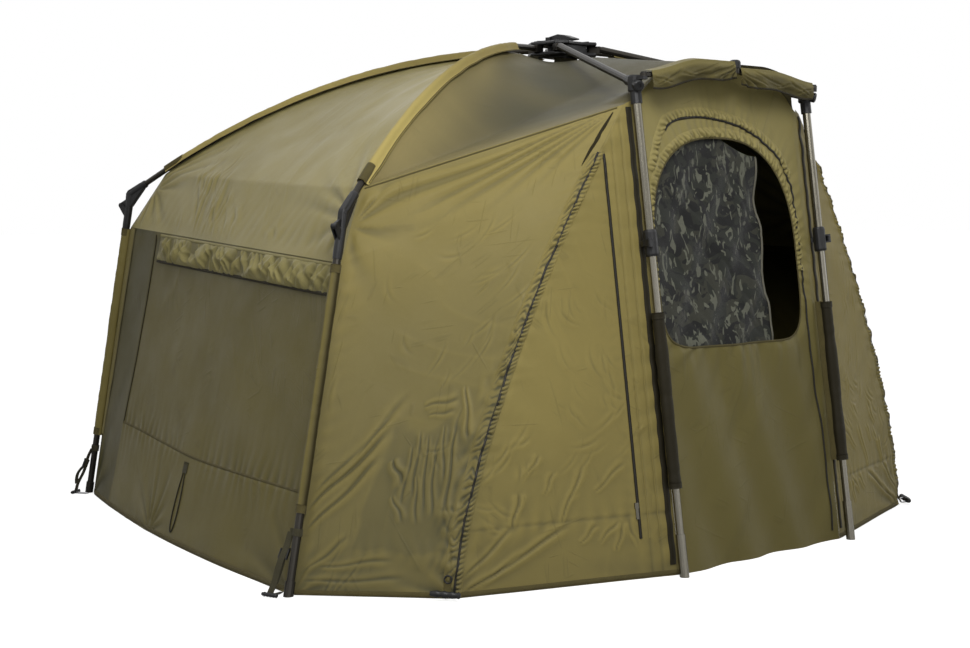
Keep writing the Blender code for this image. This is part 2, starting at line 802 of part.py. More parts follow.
def make_brim(side, axis, end):
    label = side_names[side]
    stud = brim_stud(end)
    pivot = empty("brim_axis_" + label, stud, axis)
    pin = arm_pins[side]
    target = Vector((0.0, brim_centre_setback, brim_centre_height)) - pin - stud
    lap = -side * (brim_radius + brim_lap_half_gap)
    start = Vector((target.x, target.y, 0.0)).normalized() * brim_eye_radius * 1.25
    points = [start]
    for k in range(1, brim_steps + 1):
        share = k / brim_steps
        rise = min(1.0, share / brim_level_share)
        rise = rise * rise * (3.0 - 2.0 * rise)
        flat = start.lerp(Vector((target.x, target.y, 0.0)), share)
        points.append(Vector((flat.x, flat.y, rise * (target.z + lap))))
    bar = curve_to_mesh(swept_tube("brim_bar_" + label, points, brim_radius, 8, gunmetal, pivot))
    turn = math.atan2(target.y, target.x)
    frame = Matrix.Rotation(turn, 4, "Z")
    eye = prism("brim_eye_" + label, stadium(brim_eye_radius * 2.0, brim_eye_radius), brim_eye_thickness,
                frame, 0.0, gunmetal, pivot)
    combine(bar, eye, "UNION")
    reach = brim_eye_thickness * 2.0
    start = Vector((0.0, 0.0, -reach))
    width = pin_radius + running_gap
    hole = bore("brim_bore_" + label, start, (0.0, 0.0, 1.0), 2.0 * reach, width, 12, pivot)
    combine(bar, hole, "DIFFERENCE")
    tip = points[-1]
    if side < 0:
        make_brim_knuckle(pivot, tip, target)
    else:
        bm = bmesh.new()
        top = target.z - brim_lap_half_gap
        r = brim_knuckle_radius * 0.75
        add_turned(bm, Vector((tip.x, tip.y, top)), (0.0, 0.0, -1.0),
                   [(0.0, r), (2.0 * brim_radius, r)], 14)
        combine(bar, place_mesh("brim_tip", bm, gunmetal, pivot), "UNION")


def make_brim_knuckle(pivot, tip, target):
    r, high = brim_knuckle_radius, brim_knuckle_height
    bm = bmesh.new()
    low = Vector((tip.x, tip.y, target.z + brim_lap_half_gap))
    profile = [(0.0, r), (high * 0.7, r), (high * 0.9, r * 0.85), (high, r * 0.5)]
    add_turned(bm, low, (0.0, 0.0, 1.0), profile, 16)
    knuckle = place_mesh("brim_knuckle", bm, moulding, pivot)
    back = Vector((tip.x, tip.y, 0.0)).normalized()
    start = tip - back * (r + cut_overrun)
    deep = r + cut_overrun + seat_gap
    hole = bore("brim_knuckle_bore", start, back, deep, brim_radius + seat_gap, 16, pivot)
    combine(knuckle, hole, "DIFFERENCE")


def make_front_leg(side, axis, end):
    label = side_names[side]
    top = end + front_leg * corner_body_radius
    bm = bmesh.new()
    r, inner = front_tube_radius, front_tube_radius - front_tube_wall
    length = front_upper_length
    profile = [(0.0, r), (length, r), (length, inner), (cut_overrun, inner)]
    add_turned(bm, top, front_leg, profile, 14)
    place_mesh("front_leg_upper_" + label, bm, gunmetal, axis)
    collar_start = top + front_leg * (length - collar_length)
    make_collar(side, axis, collar_start)
    slide = empty("front_leg_slide_" + label, top + front_leg * length, axis)
    tube = inner - running_gap
    first = front_leg * -front_overlap
    ground = -(top + front_leg * length).z - hub_height
    reach = (ground - first.z) / front_leg.z
    cap = tube + foot_cap_wall
    profile = [
        (0.0, tube), (reach - foot_cap_length, tube), (reach - foot_cap_length, cap), (reach, cap),
    ]
    bm = bmesh.new()
    add_turned(bm, first, front_leg, profile, 14)
    flatten_foot(bm, front_leg, ground)
    place_mesh("front_leg_lower_" + label, bm, bright_tube, slide)


def make_collar(side, axis, start):
    label = side_names[side]
    name = "cam_collar_" + label
    r = collar_radius
    bm = bmesh.new()
    profile = [
        (0.0, r * 0.86), (collar_length * 0.10, r), (collar_length * 0.92, r),
        (collar_length, r * 0.90),
    ]
    add_turned(bm, start, front_leg, profile, 16)
    collar = place_mesh(name, bm, moulding, axis)
    frame = cam_frame(side, start)
    ear_thickness = cam_lever_thickness * 0.6
    ears = bmesh.new()
    axle = Vector((cam_ear_reach, 0.0))
    root = circle_points(Vector((r * 0.5, 0.0)), r * 0.35, 8)
    outline = hull_outline(circle_points(axle, cam_axle_radius * 1.9) + root)
    gap = cam_lever_width / 2.0 + running_gap + ear_thickness / 2.0
    for sign in (-1, 1):
        add_prism(ears, outline, ear_thickness, frame @ Matrix.Translation((0.0, 0.0, sign * gap)))
    combine(collar, place_mesh(name + "_ears", ears, moulding, axis), "UNION")
    over = start - front_leg * cut_overrun
    long = collar_length + 2.0 * cut_overrun
    hole = bore(name + "_bore", over, front_leg, long, front_tube_radius + seat_gap, 18, axis)
    combine(collar, hole, "DIFFERENCE")
    make_cam_lever(side, axis, frame)


def cam_frame(side, start):
    # z runs up the leg, x runs out from the collar to the lever's axle
    middle = start + front_leg * (collar_length * 0.5)
    up = -front_leg
    out = Vector((side * 0.80, -0.60, 0.0))
    out = (out - up * out.dot(up)).normalized()
    across = up.cross(out)
    turn = Matrix((out, across, up)).transposed().to_4x4()
    return Matrix.Translation(middle) @ turn


def make_cam_lever(side, axis, frame):
    label = side_names[side]
    pivot = empty("cam_axis_" + label, (0.0, 0.0, 0.0), axis)
    pivot.matrix_local = frame @ Matrix.Translation((cam_ear_reach, 0.0, 0.0))
    r0 = collar_radius + running_gap * 2.0
    r1 = r0 + cam_lever_thickness
    sweep = cam_lever_length / r1
    outer, inner = [], []
    first = 0.30
    for k in range(9):
        turn = side * (first + sweep * k / 8.0)
        outer.append(Vector((r1 * math.cos(turn) - cam_ear_reach, r1 * math.sin(turn))))
        inner.append(Vector((r0 * math.cos(turn) - cam_ear_reach, r0 * math.sin(turn))))
    outline = [tuple(p) for p in outer + inner[::-1]]
    lever = prism("cam_lever_" + label, outline, cam_lever_width, FLAT, 0.0, moulding, pivot)
    eye = circle_points(Vector((0.0, 0.0)), cam_axle_radius * 1.8)
    heel = hull_outline(eye + [outer[0], inner[0], outer[1], inner[1]])
    combine(lever, prism("cam_heel_" + label, heel, cam_lever_width, FLAT, 0.0, moulding, pivot), "UNION")


# Cloth. Every panel is a thin closed sheet whose outer face is drawn by a formula and
# whose inner face lies a cloth's thickness closer to the tent's middle, so neighbours
# share the direction of their seam and never run into each other.
cloth_middle = Vector((0.0, cloth_middle_setback, cloth_middle_height))
chamfer_share = 0.88
hub_row_share = 0.05
eave_row_share = 0.60
probe_step_share = 0.01


def blend_points(a, b, share):
    return a + (b - a) * share


def smooth_rise(share):
    share = max(0.0, min(1.0, share))
    return share * share * (3.0 - 2.0 * share)


def inner_face(outer):
    return [[p + (cloth_middle - p).normalized() * cloth_thickness for p in row] for row in outer]


def cloth_sheet(name, outer, inner, material, parent, closed=False):
    # both faces are lists of rows of points; closed joins the ends of each row
    bm = bmesh.new()
    front = [[bm.verts.new(p) for p in row] for row in outer]
    back = [[bm.verts.new(p) for p in row] for row in inner]
    count = len(outer[0])
    steps = count if closed else count - 1
    for r in range(len(outer) - 1):
        for k in range(steps):
            n = (k + 1) % count
            bm.faces.new((front[r][k], front[r][n], front[r + 1][n], front[r + 1][k]))
            bm.faces.new((back[r][k], back[r + 1][k], back[r + 1][n], back[r][n]))
    for row in (0, len(outer) - 1):
        for k in range(steps):
            n = (k + 1) % count
            bm.faces.new((front[row][k], back[row][k], back[row][n], front[row][n]))
    if not closed:
        for k in (0, count - 1):
            for r in range(len(outer) - 1):
                bm.faces.new((front[r][k], front[r + 1][k], back[r + 1][k], back[r][k]))
    return place_mesh(name, bm, material, parent, 60.0)


def patch(surface, across, down_shares, hem=False):
    # samples surface(u, v) on a grid whose edges stop half a seam gap short of the seams
    width = (surface(1.0, 0.5) - surface(0.0, 0.5)).length
    height = (surface(0.5, 1.0) - surface(0.5, 0.0)).length
    side_share = seam_gap / 2.0 / width
    end_share = seam_gap / 2.0 / height
    rows = []
    for v in down_shares:
        v = max(v, end_share)
        v = v if hem else min(v, 1.0 - end_share)
        shares = [side_share + (1.0 - 2.0 * side_share) * k / across for k in range(across + 1)]
        rows.append([surface(u, v) for u in shares])
    return rows


def even_shares(count, low=0.0, high=1.0):
    return [low + (high - low) * k / count for k in range(count + 1)]


# neighbouring panels use the same rows down a curved seam
rib_rows = even_shares(8, 0.0, chamfer_share) + even_shares(2, chamfer_share, 1.0)[1:]
front_rows = [0.0] + even_shares(8, hub_row_share, eave_row_share) + even_shares(5, eave_row_share, 1.0)[1:]
wall_rows = [0.0] + even_shares(10, 1.0 - chamfer_share, 1.0)


def mirrored(rows, side):
    # the formulas draw the left half
    return [[Vector((-side * p.x, p.y, p.z)) for p in row] for row in rows]


# The lines that panels share, for the left half
def leg_cloth_point(kind, height):
    rib = ribs[(kind, -1)]
    return plane_to_tent(rib, leg_reach_at(rib, height) - leg_cloth_inset, height)


def rib_cloth_point(kind, along):
    rib = ribs[(kind, -1)]
    dip = roof_dip_at_hub * max(0.0, 1.0 - along / roof_dip_reach) ** 2
    return plane_to_tent(rib, along, hub_height + rib_drop(rib, along) - roof_below_rib - dip)


def rib_edge(kind, share):
    sleeve_end = rear_sleeve_end if kind == "rear" else side_sleeve_end
    wall_top = rear_wall_top if kind == "rear" else side_wall_top
    if share <= chamfer_share:
        return rib_cloth_point(kind, sleeve_end * share / chamfer_share)
    rest = (share - chamfer_share) / (1.0 - chamfer_share)
    return blend_points(rib_cloth_point(kind, sleeve_end), leg_cloth_point(kind, wall_top), rest)


def ridge_point(share):
    height = ridge_top_height * (1.0 - share)
    out = (height / ridge_top_height) ** ridge_curve_power
    x = -ridge_foot_half_width + (ridge_foot_half_width - ridge_top_half_width) * out
    y = ridge_foot_setback + (ridge_top_setback - ridge_foot_setback) * out
    return Vector((x, y, height))


def eave_point(share):
    return blend_points(rib_edge("side", chamfer_share), ridge_point(0.0), share)


def leg_lean(height):
    return front_leg_setback * height / corner_height


def front_line_point(share):
    height = door_top_height * (1.0 - share)
    return Vector((-front_half_width + front_cloth_inset, leg_lean(height) + front_cloth_back, height))


def quarter_edge(share):
    # down the side rib's last stretch of cloth and then its leg
    if share < 1.0 - chamfer_share:
        return rib_edge("side", chamfer_share + share)
    rest = (share - 1.0 + chamfer_share) / chamfer_share
    return leg_cloth_point("side", side_wall_top * (1.0 - rest))


# Roof
def roof_rear_surface(u, v):
    left = rib_edge("rear", v)
    right = Vector((-left.x, left.y, left.z))
    spot = blend_points(left, right, u)
    spot.z -= roof_sag * 4.0 * u * (1.0 - u) * v
    return spot


def roof_side_surface(u, v):
    spot = blend_points(rib_edge("rear", v), rib_edge("side", v), u)
    drawn = roof_sag * 4.0 * u * (1.0 - u) * math.sin(math.pi * v)
    return spot + (cloth_middle - spot).normalized() * drawn


def brim_height(share):
    # the brim bar's middle, from the corner joint at 0 to the tent's middle at 1
    low = corner_height + corner_body_height * 0.5
    return low + (brim_centre_height - low) * smooth_rise(share / brim_level_share)


def brim_setback(share):
    low = front_leg_setback - brim_pin_forward
    return low + (brim_centre_setback - low) * share


def roof_front_surface(u, v):
    hand = 1.0 if u > 0.5 else -1.0
    inner = 1.0 - abs(2.0 * u - 1.0)
    if v < hub_row_share:
        edge = blend_points(rib_edge("rear", 0.0), rib_edge("side", 0.0), v / hub_row_share)
    elif v < eave_row_share:
        share = (v - hub_row_share) / (eave_row_share - hub_row_share)
        edge = rib_edge("side", chamfer_share * share)
    else:
        edge = eave_point((v - eave_row_share) / (1.0 - eave_row_share))
    back = rib_edge("rear", 0.0).y
    front = brim_centre_setback + brim_cloth_back
    y = back + (front - back) * v
    if y > peak_setback:
        share = smooth_rise((peak_flat_setback - y) / (peak_flat_setback - peak_setback))
        z = apex_cloth_height() + (peak_height - apex_cloth_height()) * share
    else:
        share = (peak_setback - y) / (peak_setback - front)
        z = peak_height + (brim_centre_height + brim_cloth_lift - peak_height) * share
    middle = Vector((0.0, y, z))
    spot = blend_points(edge, middle, inner)
    # towards the brim the cloth rises to follow its bar
    clear = front_half_width - brim_corner_clearance - abs(spot.x)
    follow = smooth_rise((v - 0.8) / 0.2) * smooth_rise(clear / brim_corner_reach)
    along = 1.0 - abs(spot.x) / front_half_width
    spot.z += (brim_height(along) + brim_cloth_lift - spot.z) * follow
    spot.y += (brim_setback(along) + brim_cloth_back - spot.y) * follow
    spot.z -= roof_sag * 0.7 * math.sin(math.pi * inner) * math.sin(math.pi * min(1.0, v * 1.1))
    spot.x *= -hand
    return spot


# Walls
def side_wall_surface(u, v):
    rear = leg_cloth_point("rear", rear_wall_top * (1.0 - v))
    front = leg_cloth_point("side", side_wall_top * (1.0 - v))
    spot = blend_points(rear, front, u)
    run = front - rear
    out = Vector((run.y, -run.x, 0.0)).normalized()
    return spot + out * (wall_hem_bow * 4.0 * u * (1.0 - u) * v ** 1.5)


def rear_wall_surface(u, v):
    left = leg_cloth_point("rear", rear_wall_top * (1.0 - v))
    spot = Vector((left.x * (1.0 - 2.0 * u), left.y, left.z))
    bulge = 4.0 * u * (1.0 - u)
    spot.y += rear_hem_bow * bulge * v ** 1.5
    spot.z -= roof_sag * bulge * (1.0 - v)
    return spot


def quarter_surface(u, v):
    spot = blend_points(quarter_edge(v), ridge_point(v), u)
    drawn = roof_sag * 4.0 * u * (1.0 - u) * math.sin(math.pi * v)
    return spot + (cloth_middle - spot).normalized() * drawn


def wing_surface(u, v):
    return blend_points(ridge_point(v), front_line_point(v), u)


def wing_point_at(half_width, height):
    share = 1.0 - height / ridge_top_height
    ridge, line = ridge_point(share), front_line_point(share)
    return blend_points(ridge, line, (-half_width - ridge.x) / (line.x - ridge.x))


# Door with its arched window
def door_folds(x, z):
    wave = math.sin(2.0 * math.pi * (x + 0.35 * z) / door_fold_pitch)
    low = 1.0 - smooth_rise((z - window_middle_height + window_fall * 1.2) / window_fall)
    edge = 1.0 - (abs(x) / door_half_width()) ** 4
    return door_fold_depth * wave * max(0.0, low) * max(0.0, edge)


def door_point(x, z):
    return Vector((x, leg_lean(z) + front_cloth_back + door_folds(x, z), z))


def door_half_width():
    return front_half_width - front_cloth_inset


def door_top(x):
    # just under the roof's front panel: rows and columns are halved until the point is found
    low, high = 0.80, 1.0
    for step in range(12):
        v = (low + high) / 2.0
        left, right = 0.0, 0.5
        for inner_step in range(12):
            u = (left + right) / 2.0
            if roof_front_surface(u, v).x < -abs(x):
                left = u
            else:
                right = u
        spot = roof_front_surface(u, v)
        if spot.y > leg_lean(spot.z) + front_cloth_back:
            low = v
        else:
            high = v
    return spot.z - door_below_roof


def arch_radius(turn):
    # a superellipse: round over the top, nearly square along the sill
    upper = math.sin(turn) >= 0.0
    rise = window_rise if upper else window_fall
    power = arch_power_share if upper else sill_power_share
    a = abs(math.cos(turn) / window_half_width) ** power
    b = abs(math.sin(turn) / rise) ** power
    return (a + b) ** (-1.0 / power)


def door_border(across, down):
    half = door_half_width() - seam_gap / 2.0
    spots = [(-half + 2.0 * half * k / across, 0.0) for k in range(across)]
    spots += [(half, door_top(half) * k / down) for k in range(down)]
    spots += [(half - 2.0 * half * k / across, None) for k in range(across)]
    spots += [(-half, door_top(half) * (1.0 - k / down)) for k in range(down)]
    return [(x, door_top(x) if z is None else z) for x, z in spots]


def door_rows():
    border = door_border(10, 12)
    rows = []
    rings = 5
    for r in range(rings + 1):
        share = r / rings
        row = []
        for x, z in border:
            turn = math.atan2(z - window_middle_height, x - window_middle_x)
            reach = arch_radius(turn)
            inner_x = window_middle_x + reach * math.cos(turn)
            inner_z = window_middle_height + reach * math.sin(turn)
            row.append(door_point(x + (inner_x - x) * share, z + (inner_z - z) * share))
        rows.append(row)
    return rows


def camo_surface(u, v):
    left = window_middle_x - window_half_width * 1.06
    x = left + (camo_half_right - left) * u
    top = window_middle_height + window_rise * 1.10
    z = top + (camo_bottom_height - top) * v
    wave = math.sin(2.0 * math.pi * (x - 0.62 * z) / camo_fold_pitch)
    free = smooth_rise(u * 3.0) * smooth_rise(v * 4.0)
    behind = cloth_thickness + seam_gap + camo_setback * smooth_rise(v * 1.6)
    drape = camo_fold_depth * (1.0 + wave) * 0.5 * free
    return Vector((x, leg_lean(z) + front_cloth_back + behind + drape, z))


def valance_rows(side, pivot_place):
    # over the brim bar from behind, and down in front of it; both faces
    r = brim_radius
    over = r + cloth_thickness + running_gap
    section = [
        (brim_cloth_back - seam_gap, brim_cloth_lift * 0.95), (0.0, over), (-r * 1.15, r * 1.15),
        (-valance_forward, -r * 0.6), (-valance_forward, -valance_drop * 0.6),
        (-valance_forward * 0.9, -valance_drop),
    ]
    end_share = 1.0 - valance_gap / front_half_width
    outer, inner = [], []
    for depth, (back, up) in enumerate(section):
        inward = Vector((0.0, -back, -max(up, 0.0))).normalized() * cloth_thickness
        row = []
        for k in range(15):
            share = valance_start_share + (end_share - valance_start_share) * k / 14.0
            fold = valance_fold * depth / 5.0 * math.sin(3.0 * math.pi * share)
            level = smooth_rise(share / brim_level_share)
            lap = (brim_radius + brim_lap_half_gap) * level
            slack = valance_slack * (1.0 - level)
            spot = Vector((
                side * front_half_width * (1.0 - share), brim_setback(share) + back - abs(fold),
                brim_height(share) + up + slack - side * lap,
            ))
            row.append(spot - pivot_place)
        outer.append(row)
        inner.append([p + inward for p in row])
    return outer, inner


def sew(name, rows, material=nylon, closed=False):
    cloth_sheet(name, rows, inner_face(rows), material, tent, closed)


def make_roof():
    sew("roof_rear_panel", patch(roof_rear_surface, 10, rib_rows))
    for side in (-1, 1):
        sew("roof_side_panel_" + side_names[side], mirrored(patch(roof_side_surface, 9, rib_rows), side))
    sew("roof_front_panel", patch(roof_front_surface, 14, front_rows))


def make_walls():
    sew("rear_wall", patch(rear_wall_surface, 10, even_shares(6), True))
    for side in (-1, 1):
        label = side_names[side]
        sew("side_wall_" + label, mirrored(patch(side_wall_surface, 11, even_shares(7), True), side))
        sew("quarter_panel_" + label, mirrored(patch(quarter_surface, 8, wall_rows, True), side))
        sew("wing_panel_" + label, mirrored(patch(wing_surface, 7, wall_rows, True), side))
        make_window_roll(side)
        make_zip_slider(side)
    sew("door_panel", door_rows(), closed=True)
    sew("camo_inner_panel", patch(camo_surface, 11, even_shares(9)), camo)


def wall_out(u, v):
    step = probe_step_share
    along = side_wall_surface(min(1.0, u + step), v) - side_wall_surface(max(0.0, u - step), v)
    down = side_wall_surface(u, min(1.0, v + step)) - side_wall_surface(u, max(0.0, v - step))
    return down.cross(along).normalized()


def make_window_roll(side):
    # the window's cover, gathered into a flattened roll along the top of the wall
    stations, ring = 16, 8
    wall_height = (rear_wall_top + side_wall_top) / 2.0
    rows = []
    for k in range(stations + 1):
        share = k / stations
        u = roll_start_share + (roll_end_share - roll_start_share) * share
        v = (roll_height * 0.62) / wall_height
        out = wall_out(u, v)
        gather = 1.0 + 0.16 * math.sin(share * 23.0) + 0.10 * math.sin(share * 41.0 + 1.3)
        end = min(1.0, 0.55 + 5.0 * min(share, 1.0 - share))
        row = []
        for n in range(ring):
            turn = 2.0 * math.pi * n / ring
            shift = roll_height / 2.0 * math.cos(turn) / wall_height
            base = side_wall_surface(u, v + shift)
            proud = roll_depth / 2.0 * (1.0 + math.sin(turn) * 0.96) * gather * end
            row.append(base + out * (proud + seam_gap * 2.0))
        rows.append(row)
    rows = mirrored(rows, side)
    bm = bmesh.new()
    made = [[bm.verts.new(p) for p in row] for row in rows]
    for a, b in zip(made, made[1:]):
        for n in range(ring):
            m = (n + 1) % ring
            bm.faces.new((a[n], a[m], b[m], b[n]))
    bm.faces.new(made[0])
    bm.faces.new(made[-1])
    place_mesh("window_roll_" + side_names[side], bm, nylon, tent, 60.0)


# Zip sliders, which ride on the straight zips of the wing panels
def make_zip_slider(side):
    label = side_names[side]
    low = wing_point_at(zip_half_width_place, slider_rest_height)
    high = wing_point_at(zip_half_width_place, corner_height * 0.75)
    up = (high - low).normalized()
    across = (wing_surface(0.9, 0.8) - wing_surface(0.1, 0.8)).normalized()
    out = up.cross(across).normalized()
    if out.y > 0.0:
        out = -out
    # the slider's straight way leaves the slightly bowed cloth towards its upper end
    up = (high + out * zip_rise_off_cloth - low).normalized()
    spots = [Vector((-side * p.x, p.y, p.z)) for p in (low, up, out)]
    low, up, out = spots
    across = up.cross(out).normalized()
    frame = Matrix((across, out, up)).transposed().to_4x4()
    pivot = empty("zip_axis_" + label, (0.0, 0.0, 0.0), tent)
    pivot.matrix_local = Matrix.Translation(low) @ frame
    lift = slider_thickness / 2.0 + slider_stand_off
    body = box_outline(slider_width / 2.0, slider_thickness / 2.0)
    slider = prism("zip_slider_" + label, body, slider_height, Matrix.Translation((0.0, lift, 0.0)), 0.0,
                   steel, pivot)
    tag = box_outline(puller_width / 2.0, puller_thickness / 2.0)
    place = Matrix.Translation((0.0, lift + slider_thickness * 0.2, -puller_length / 2.0))
    combine(slider, prism("puller_" + label, tag, puller_length, place, 0.0, steel, pivot), "UNION")


# Webbing straps that tie the legs' feet to pegs. They hang from a band round the leg.
def make_strap(kind, side):
    rib = ribs[(kind, side)]
    label = kind + "_" + side_names[side]
    corner, leg, outward, part_point, lug = knuckle_layout(rib)
    pivot = bpy.data.objects["leg_axis_" + label]
    beside = Vector((0.0, -side if kind == "rear" else side, 0.0))
    top_out = leg_reach_at(rib, strap_top_height) - lug.x
    top = Vector((top_out, 0.0, strap_top_height - hub_height - lug.y))
    name = "peg_strap_" + label
    band = webbing_width / 2.0
    outside = leg_radius + seat_gap + webbing_thickness
    strap = bore(name, top - upright(leg) * band, upright(leg), webbing_width, outside, 14, pivot)
    strap.data.materials[0] = webbing
    reach = webbing_width + cut_overrun
    start = top - upright(leg) * (band + cut_overrun)
    hole = bore(name + "_bore", start, upright(leg), reach + cut_overrun, leg_radius + seat_gap, 16, pivot)
    start = top + beside * (leg_radius + webbing_thickness * 0.7 + band)
    foot_out = rib["span"] + strap_foot_out - lug.x
    peg = beside * strap_foot_beside + Vector((foot_out, 0.0, peg_head_radius - hub_height - lug.y))
    run = peg - start
    down = run.normalized()
    wide = (beside - down * beside.dot(down)).normalized()
    frame = Matrix((wide, down.cross(wide), down)).transposed().to_4x4()
    more = bmesh.new()
    flat = box_outline(band, webbing_thickness / 2.0)
    add_prism(more, flat, run.length, Matrix.Translation(start + run / 2.0) @ frame)
    combine(strap, place_mesh(name + "_band", more, webbing, pivot), "UNION")
    combine(strap, hole, "DIFFERENCE")
    buckle = box_outline(buckle_width / 2.0, buckle_depth / 2.0)
    place = Matrix.Translation(start + run * buckle_share) @ frame
    combine(strap, prism(name + "_buckle", buckle, buckle_height, place, 0.0, moulding, pivot), "UNION")
    make_peg(name, strap, peg, beside, pivot)


def make_peg(name, strap, middle, beside, pivot):
    r = peg_head_radius
    start = middle - beside * peg_head_length / 2.0
    profile = [(0.0, r * 0.7), (r * 0.5, r), (peg_head_length - r * 0.5, r), (peg_head_length, r * 0.7)]
    head = bmesh.new()
    add_turned(head, start, beside, profile, 10)
    combine(strap, place_mesh(name + "_peg_head", head, moulding, pivot), "UNION")
    low = middle + Vector((0.0, 0.0, peg_radius - peg_head_radius))
    profile = [(0.0, peg_radius), (peg_length * 0.9, peg_radius), (peg_length, peg_radius * 0.3)]
    spike = bmesh.new()
    add_turned(spike, low, (-1.0, 0.0, 0.0), profile, 8)
    combine(strap, place_mesh(name + "_peg", spike, steel, pivot), "UNION")


# The tab below the left window and its elastic loop
def on_left_wall(u, v, proud):
    return side_wall_surface(u, v) + wall_out(u, v) * proud


def make_tab_and_loop():
    u0 = tab_share
    height = (rear_wall_top + side_wall_top) / 2.0
    length = (side_wall_surface(1.0, 0.8) - side_wall_surface(0.0, 0.8)).length
    lift = tab_thickness / 2.0 + seat_gap * 2.0
    v = 1.0 - (tab_bottom_height + tab_height / 2.0) / height
    middle = on_left_wall(u0, v, lift)
    out = wall_out(u0, v)
    along = (side_wall_surface(u0 + probe_step_share, v) - side_wall_surface(u0, v)).normalized()
    up = along.cross(out).normalized()
    if up.z < 0.0:
        up = -up
    frame = Matrix.Translation(middle) @ Matrix((along, out, up)).transposed().to_4x4()
    outline = box_outline(tab_width / 2.0, tab_thickness / 2.0)
    prism("cord_tab", outline, tab_height, frame, 0.0, webbing, tent)
    spots = []
    for sideways, down in smooth_route(loop_route, loop_steps):
        low = down + tab_height / 2.0 + seat_gap
        hang = min(1.0, down / (tab_height * 1.5))
        at_tab = middle + along * sideways - up * low
        v_here = 1.0 - (tab_bottom_height - down) / height
        at_wall = on_left_wall(u0 + sideways / length, v_here, loop_radius + seat_gap * 4.0)
        spots.append(blend_points(at_tab, at_wall, smooth_rise(hang)))
    swept_tube("cord_loop", spots, loop_radius, 8, elastic, tent)


def smooth_route(points, steps):
    # a smooth curve through the route's points
    spots = [Vector(p) for p in points]
    ends = [spots[0] * 2.0 - spots[1]] + spots + [spots[-1] * 2.0 - spots[-2]]
    made = []
    for k in range(steps + 1):
        place = k / steps * (len(spots) - 1)
        n = min(int(place), len(spots) - 2)
        t = place - n
        a, b, c, d = ends[n:n + 4]
        made.append(0.5 * (2.0 * b + (c - a) * t + (2.0 * a - 5.0 * b + 4.0 * c - d) * t * t
                           + (3.0 * b - a - 3.0 * c + d) * t ** 3))
    return made


make_hub()
for kind in ("rear", "side"):
    for side in (-1, 1):
        make_rib(kind, side)
        make_strap(kind, side)
for side in (-1, 1):
    make_arm(side)
    brim = bpy.data.objects["brim_axis_" + side_names[side]]
    over, under = valance_rows(side, arm_pins[side] + brim.location)
    cloth_sheet("brim_valance_" + side_names[side], over, under, nylon, brim)
make_roof()
make_walls()
make_tab_and_loop()
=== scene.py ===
import json
import math

import bpy
import numpy as np
from mathutils import Matrix, Vector


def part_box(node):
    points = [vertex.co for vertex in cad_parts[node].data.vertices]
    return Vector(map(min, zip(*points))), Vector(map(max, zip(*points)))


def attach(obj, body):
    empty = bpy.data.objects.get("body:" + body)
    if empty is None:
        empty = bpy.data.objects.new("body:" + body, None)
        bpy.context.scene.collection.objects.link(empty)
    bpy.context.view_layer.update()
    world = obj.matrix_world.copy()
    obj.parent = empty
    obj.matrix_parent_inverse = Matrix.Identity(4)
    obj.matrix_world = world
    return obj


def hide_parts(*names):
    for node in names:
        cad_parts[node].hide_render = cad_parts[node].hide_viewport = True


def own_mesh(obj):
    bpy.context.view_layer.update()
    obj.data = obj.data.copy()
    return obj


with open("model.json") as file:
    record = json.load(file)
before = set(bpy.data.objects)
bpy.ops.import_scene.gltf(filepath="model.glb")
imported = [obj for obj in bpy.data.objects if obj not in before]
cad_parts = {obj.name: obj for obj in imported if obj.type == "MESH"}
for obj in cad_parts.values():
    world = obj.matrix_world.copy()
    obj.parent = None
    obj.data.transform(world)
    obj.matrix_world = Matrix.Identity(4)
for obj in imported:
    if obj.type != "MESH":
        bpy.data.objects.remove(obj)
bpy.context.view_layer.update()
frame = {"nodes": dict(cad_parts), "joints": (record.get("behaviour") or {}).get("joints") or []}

# Sizes of the tent, the same as in the CAD source; y is measured back from the front feet
HUB_Z, HUB_Y, REAR_PIN, SIDE_PIN = 1.54, 0.86, 0.072, 0.022
BOW_START, RIB_END = 0.085, 0.08
FRONT_HALF, CORNER_Y, CORNER_Z = 0.4, 0.19, 1.378
BRIM_Y, BRIM_Z = 0.15, 1.44
BRIM_RADIUS, BRIM_LIFT, BRIM_BACK, BRIM_FORWARD = 0.008, 0.014, 0.02, 0.0335
JOINT_HALF, LEVEL_SHARE = 0.024, 0.62
BELOW_RIB, HUB_DIP, DIP_REACH = 0.0135, 0.03, 0.26
SLEEVE_END = {"rear": 1.385, "side": 0.96}
WALL_TOP = {"rear": HUB_Z * 0.6266, "side": HUB_Z * 0.5714}
WALL_HIGH = (WALL_TOP["rear"] + WALL_TOP["side"]) / 2.0
LEG_INSET = 0.02
CHAMFER, HUB_ROW, EAVE_ROW = 0.88, 0.05, 0.6
RIDGE_FOOT, RIDGE_TOP = (1.043, 0.25), (0.414, 0.222)
RIDGE_Z, RIDGE_POWER = 1.32, 1.5
DOOR_HALF, DOOR_BACK, DOOR_Z, DOOR_HIGH = 0.384, 0.03, 1.335, 1.43
PEAK_Z, PEAK_Y, PEAK_FLAT_Y = 1.508, 0.7, 0.81
SAG, WALL_BOW, REAR_BOW = 0.028, 0.06, 0.05
WINDOW_X, WINDOW_Z, WINDOW_HALF, WINDOW_RISE, WINDOW_FALL = -0.022, 0.9, 0.33, 0.335, 0.275
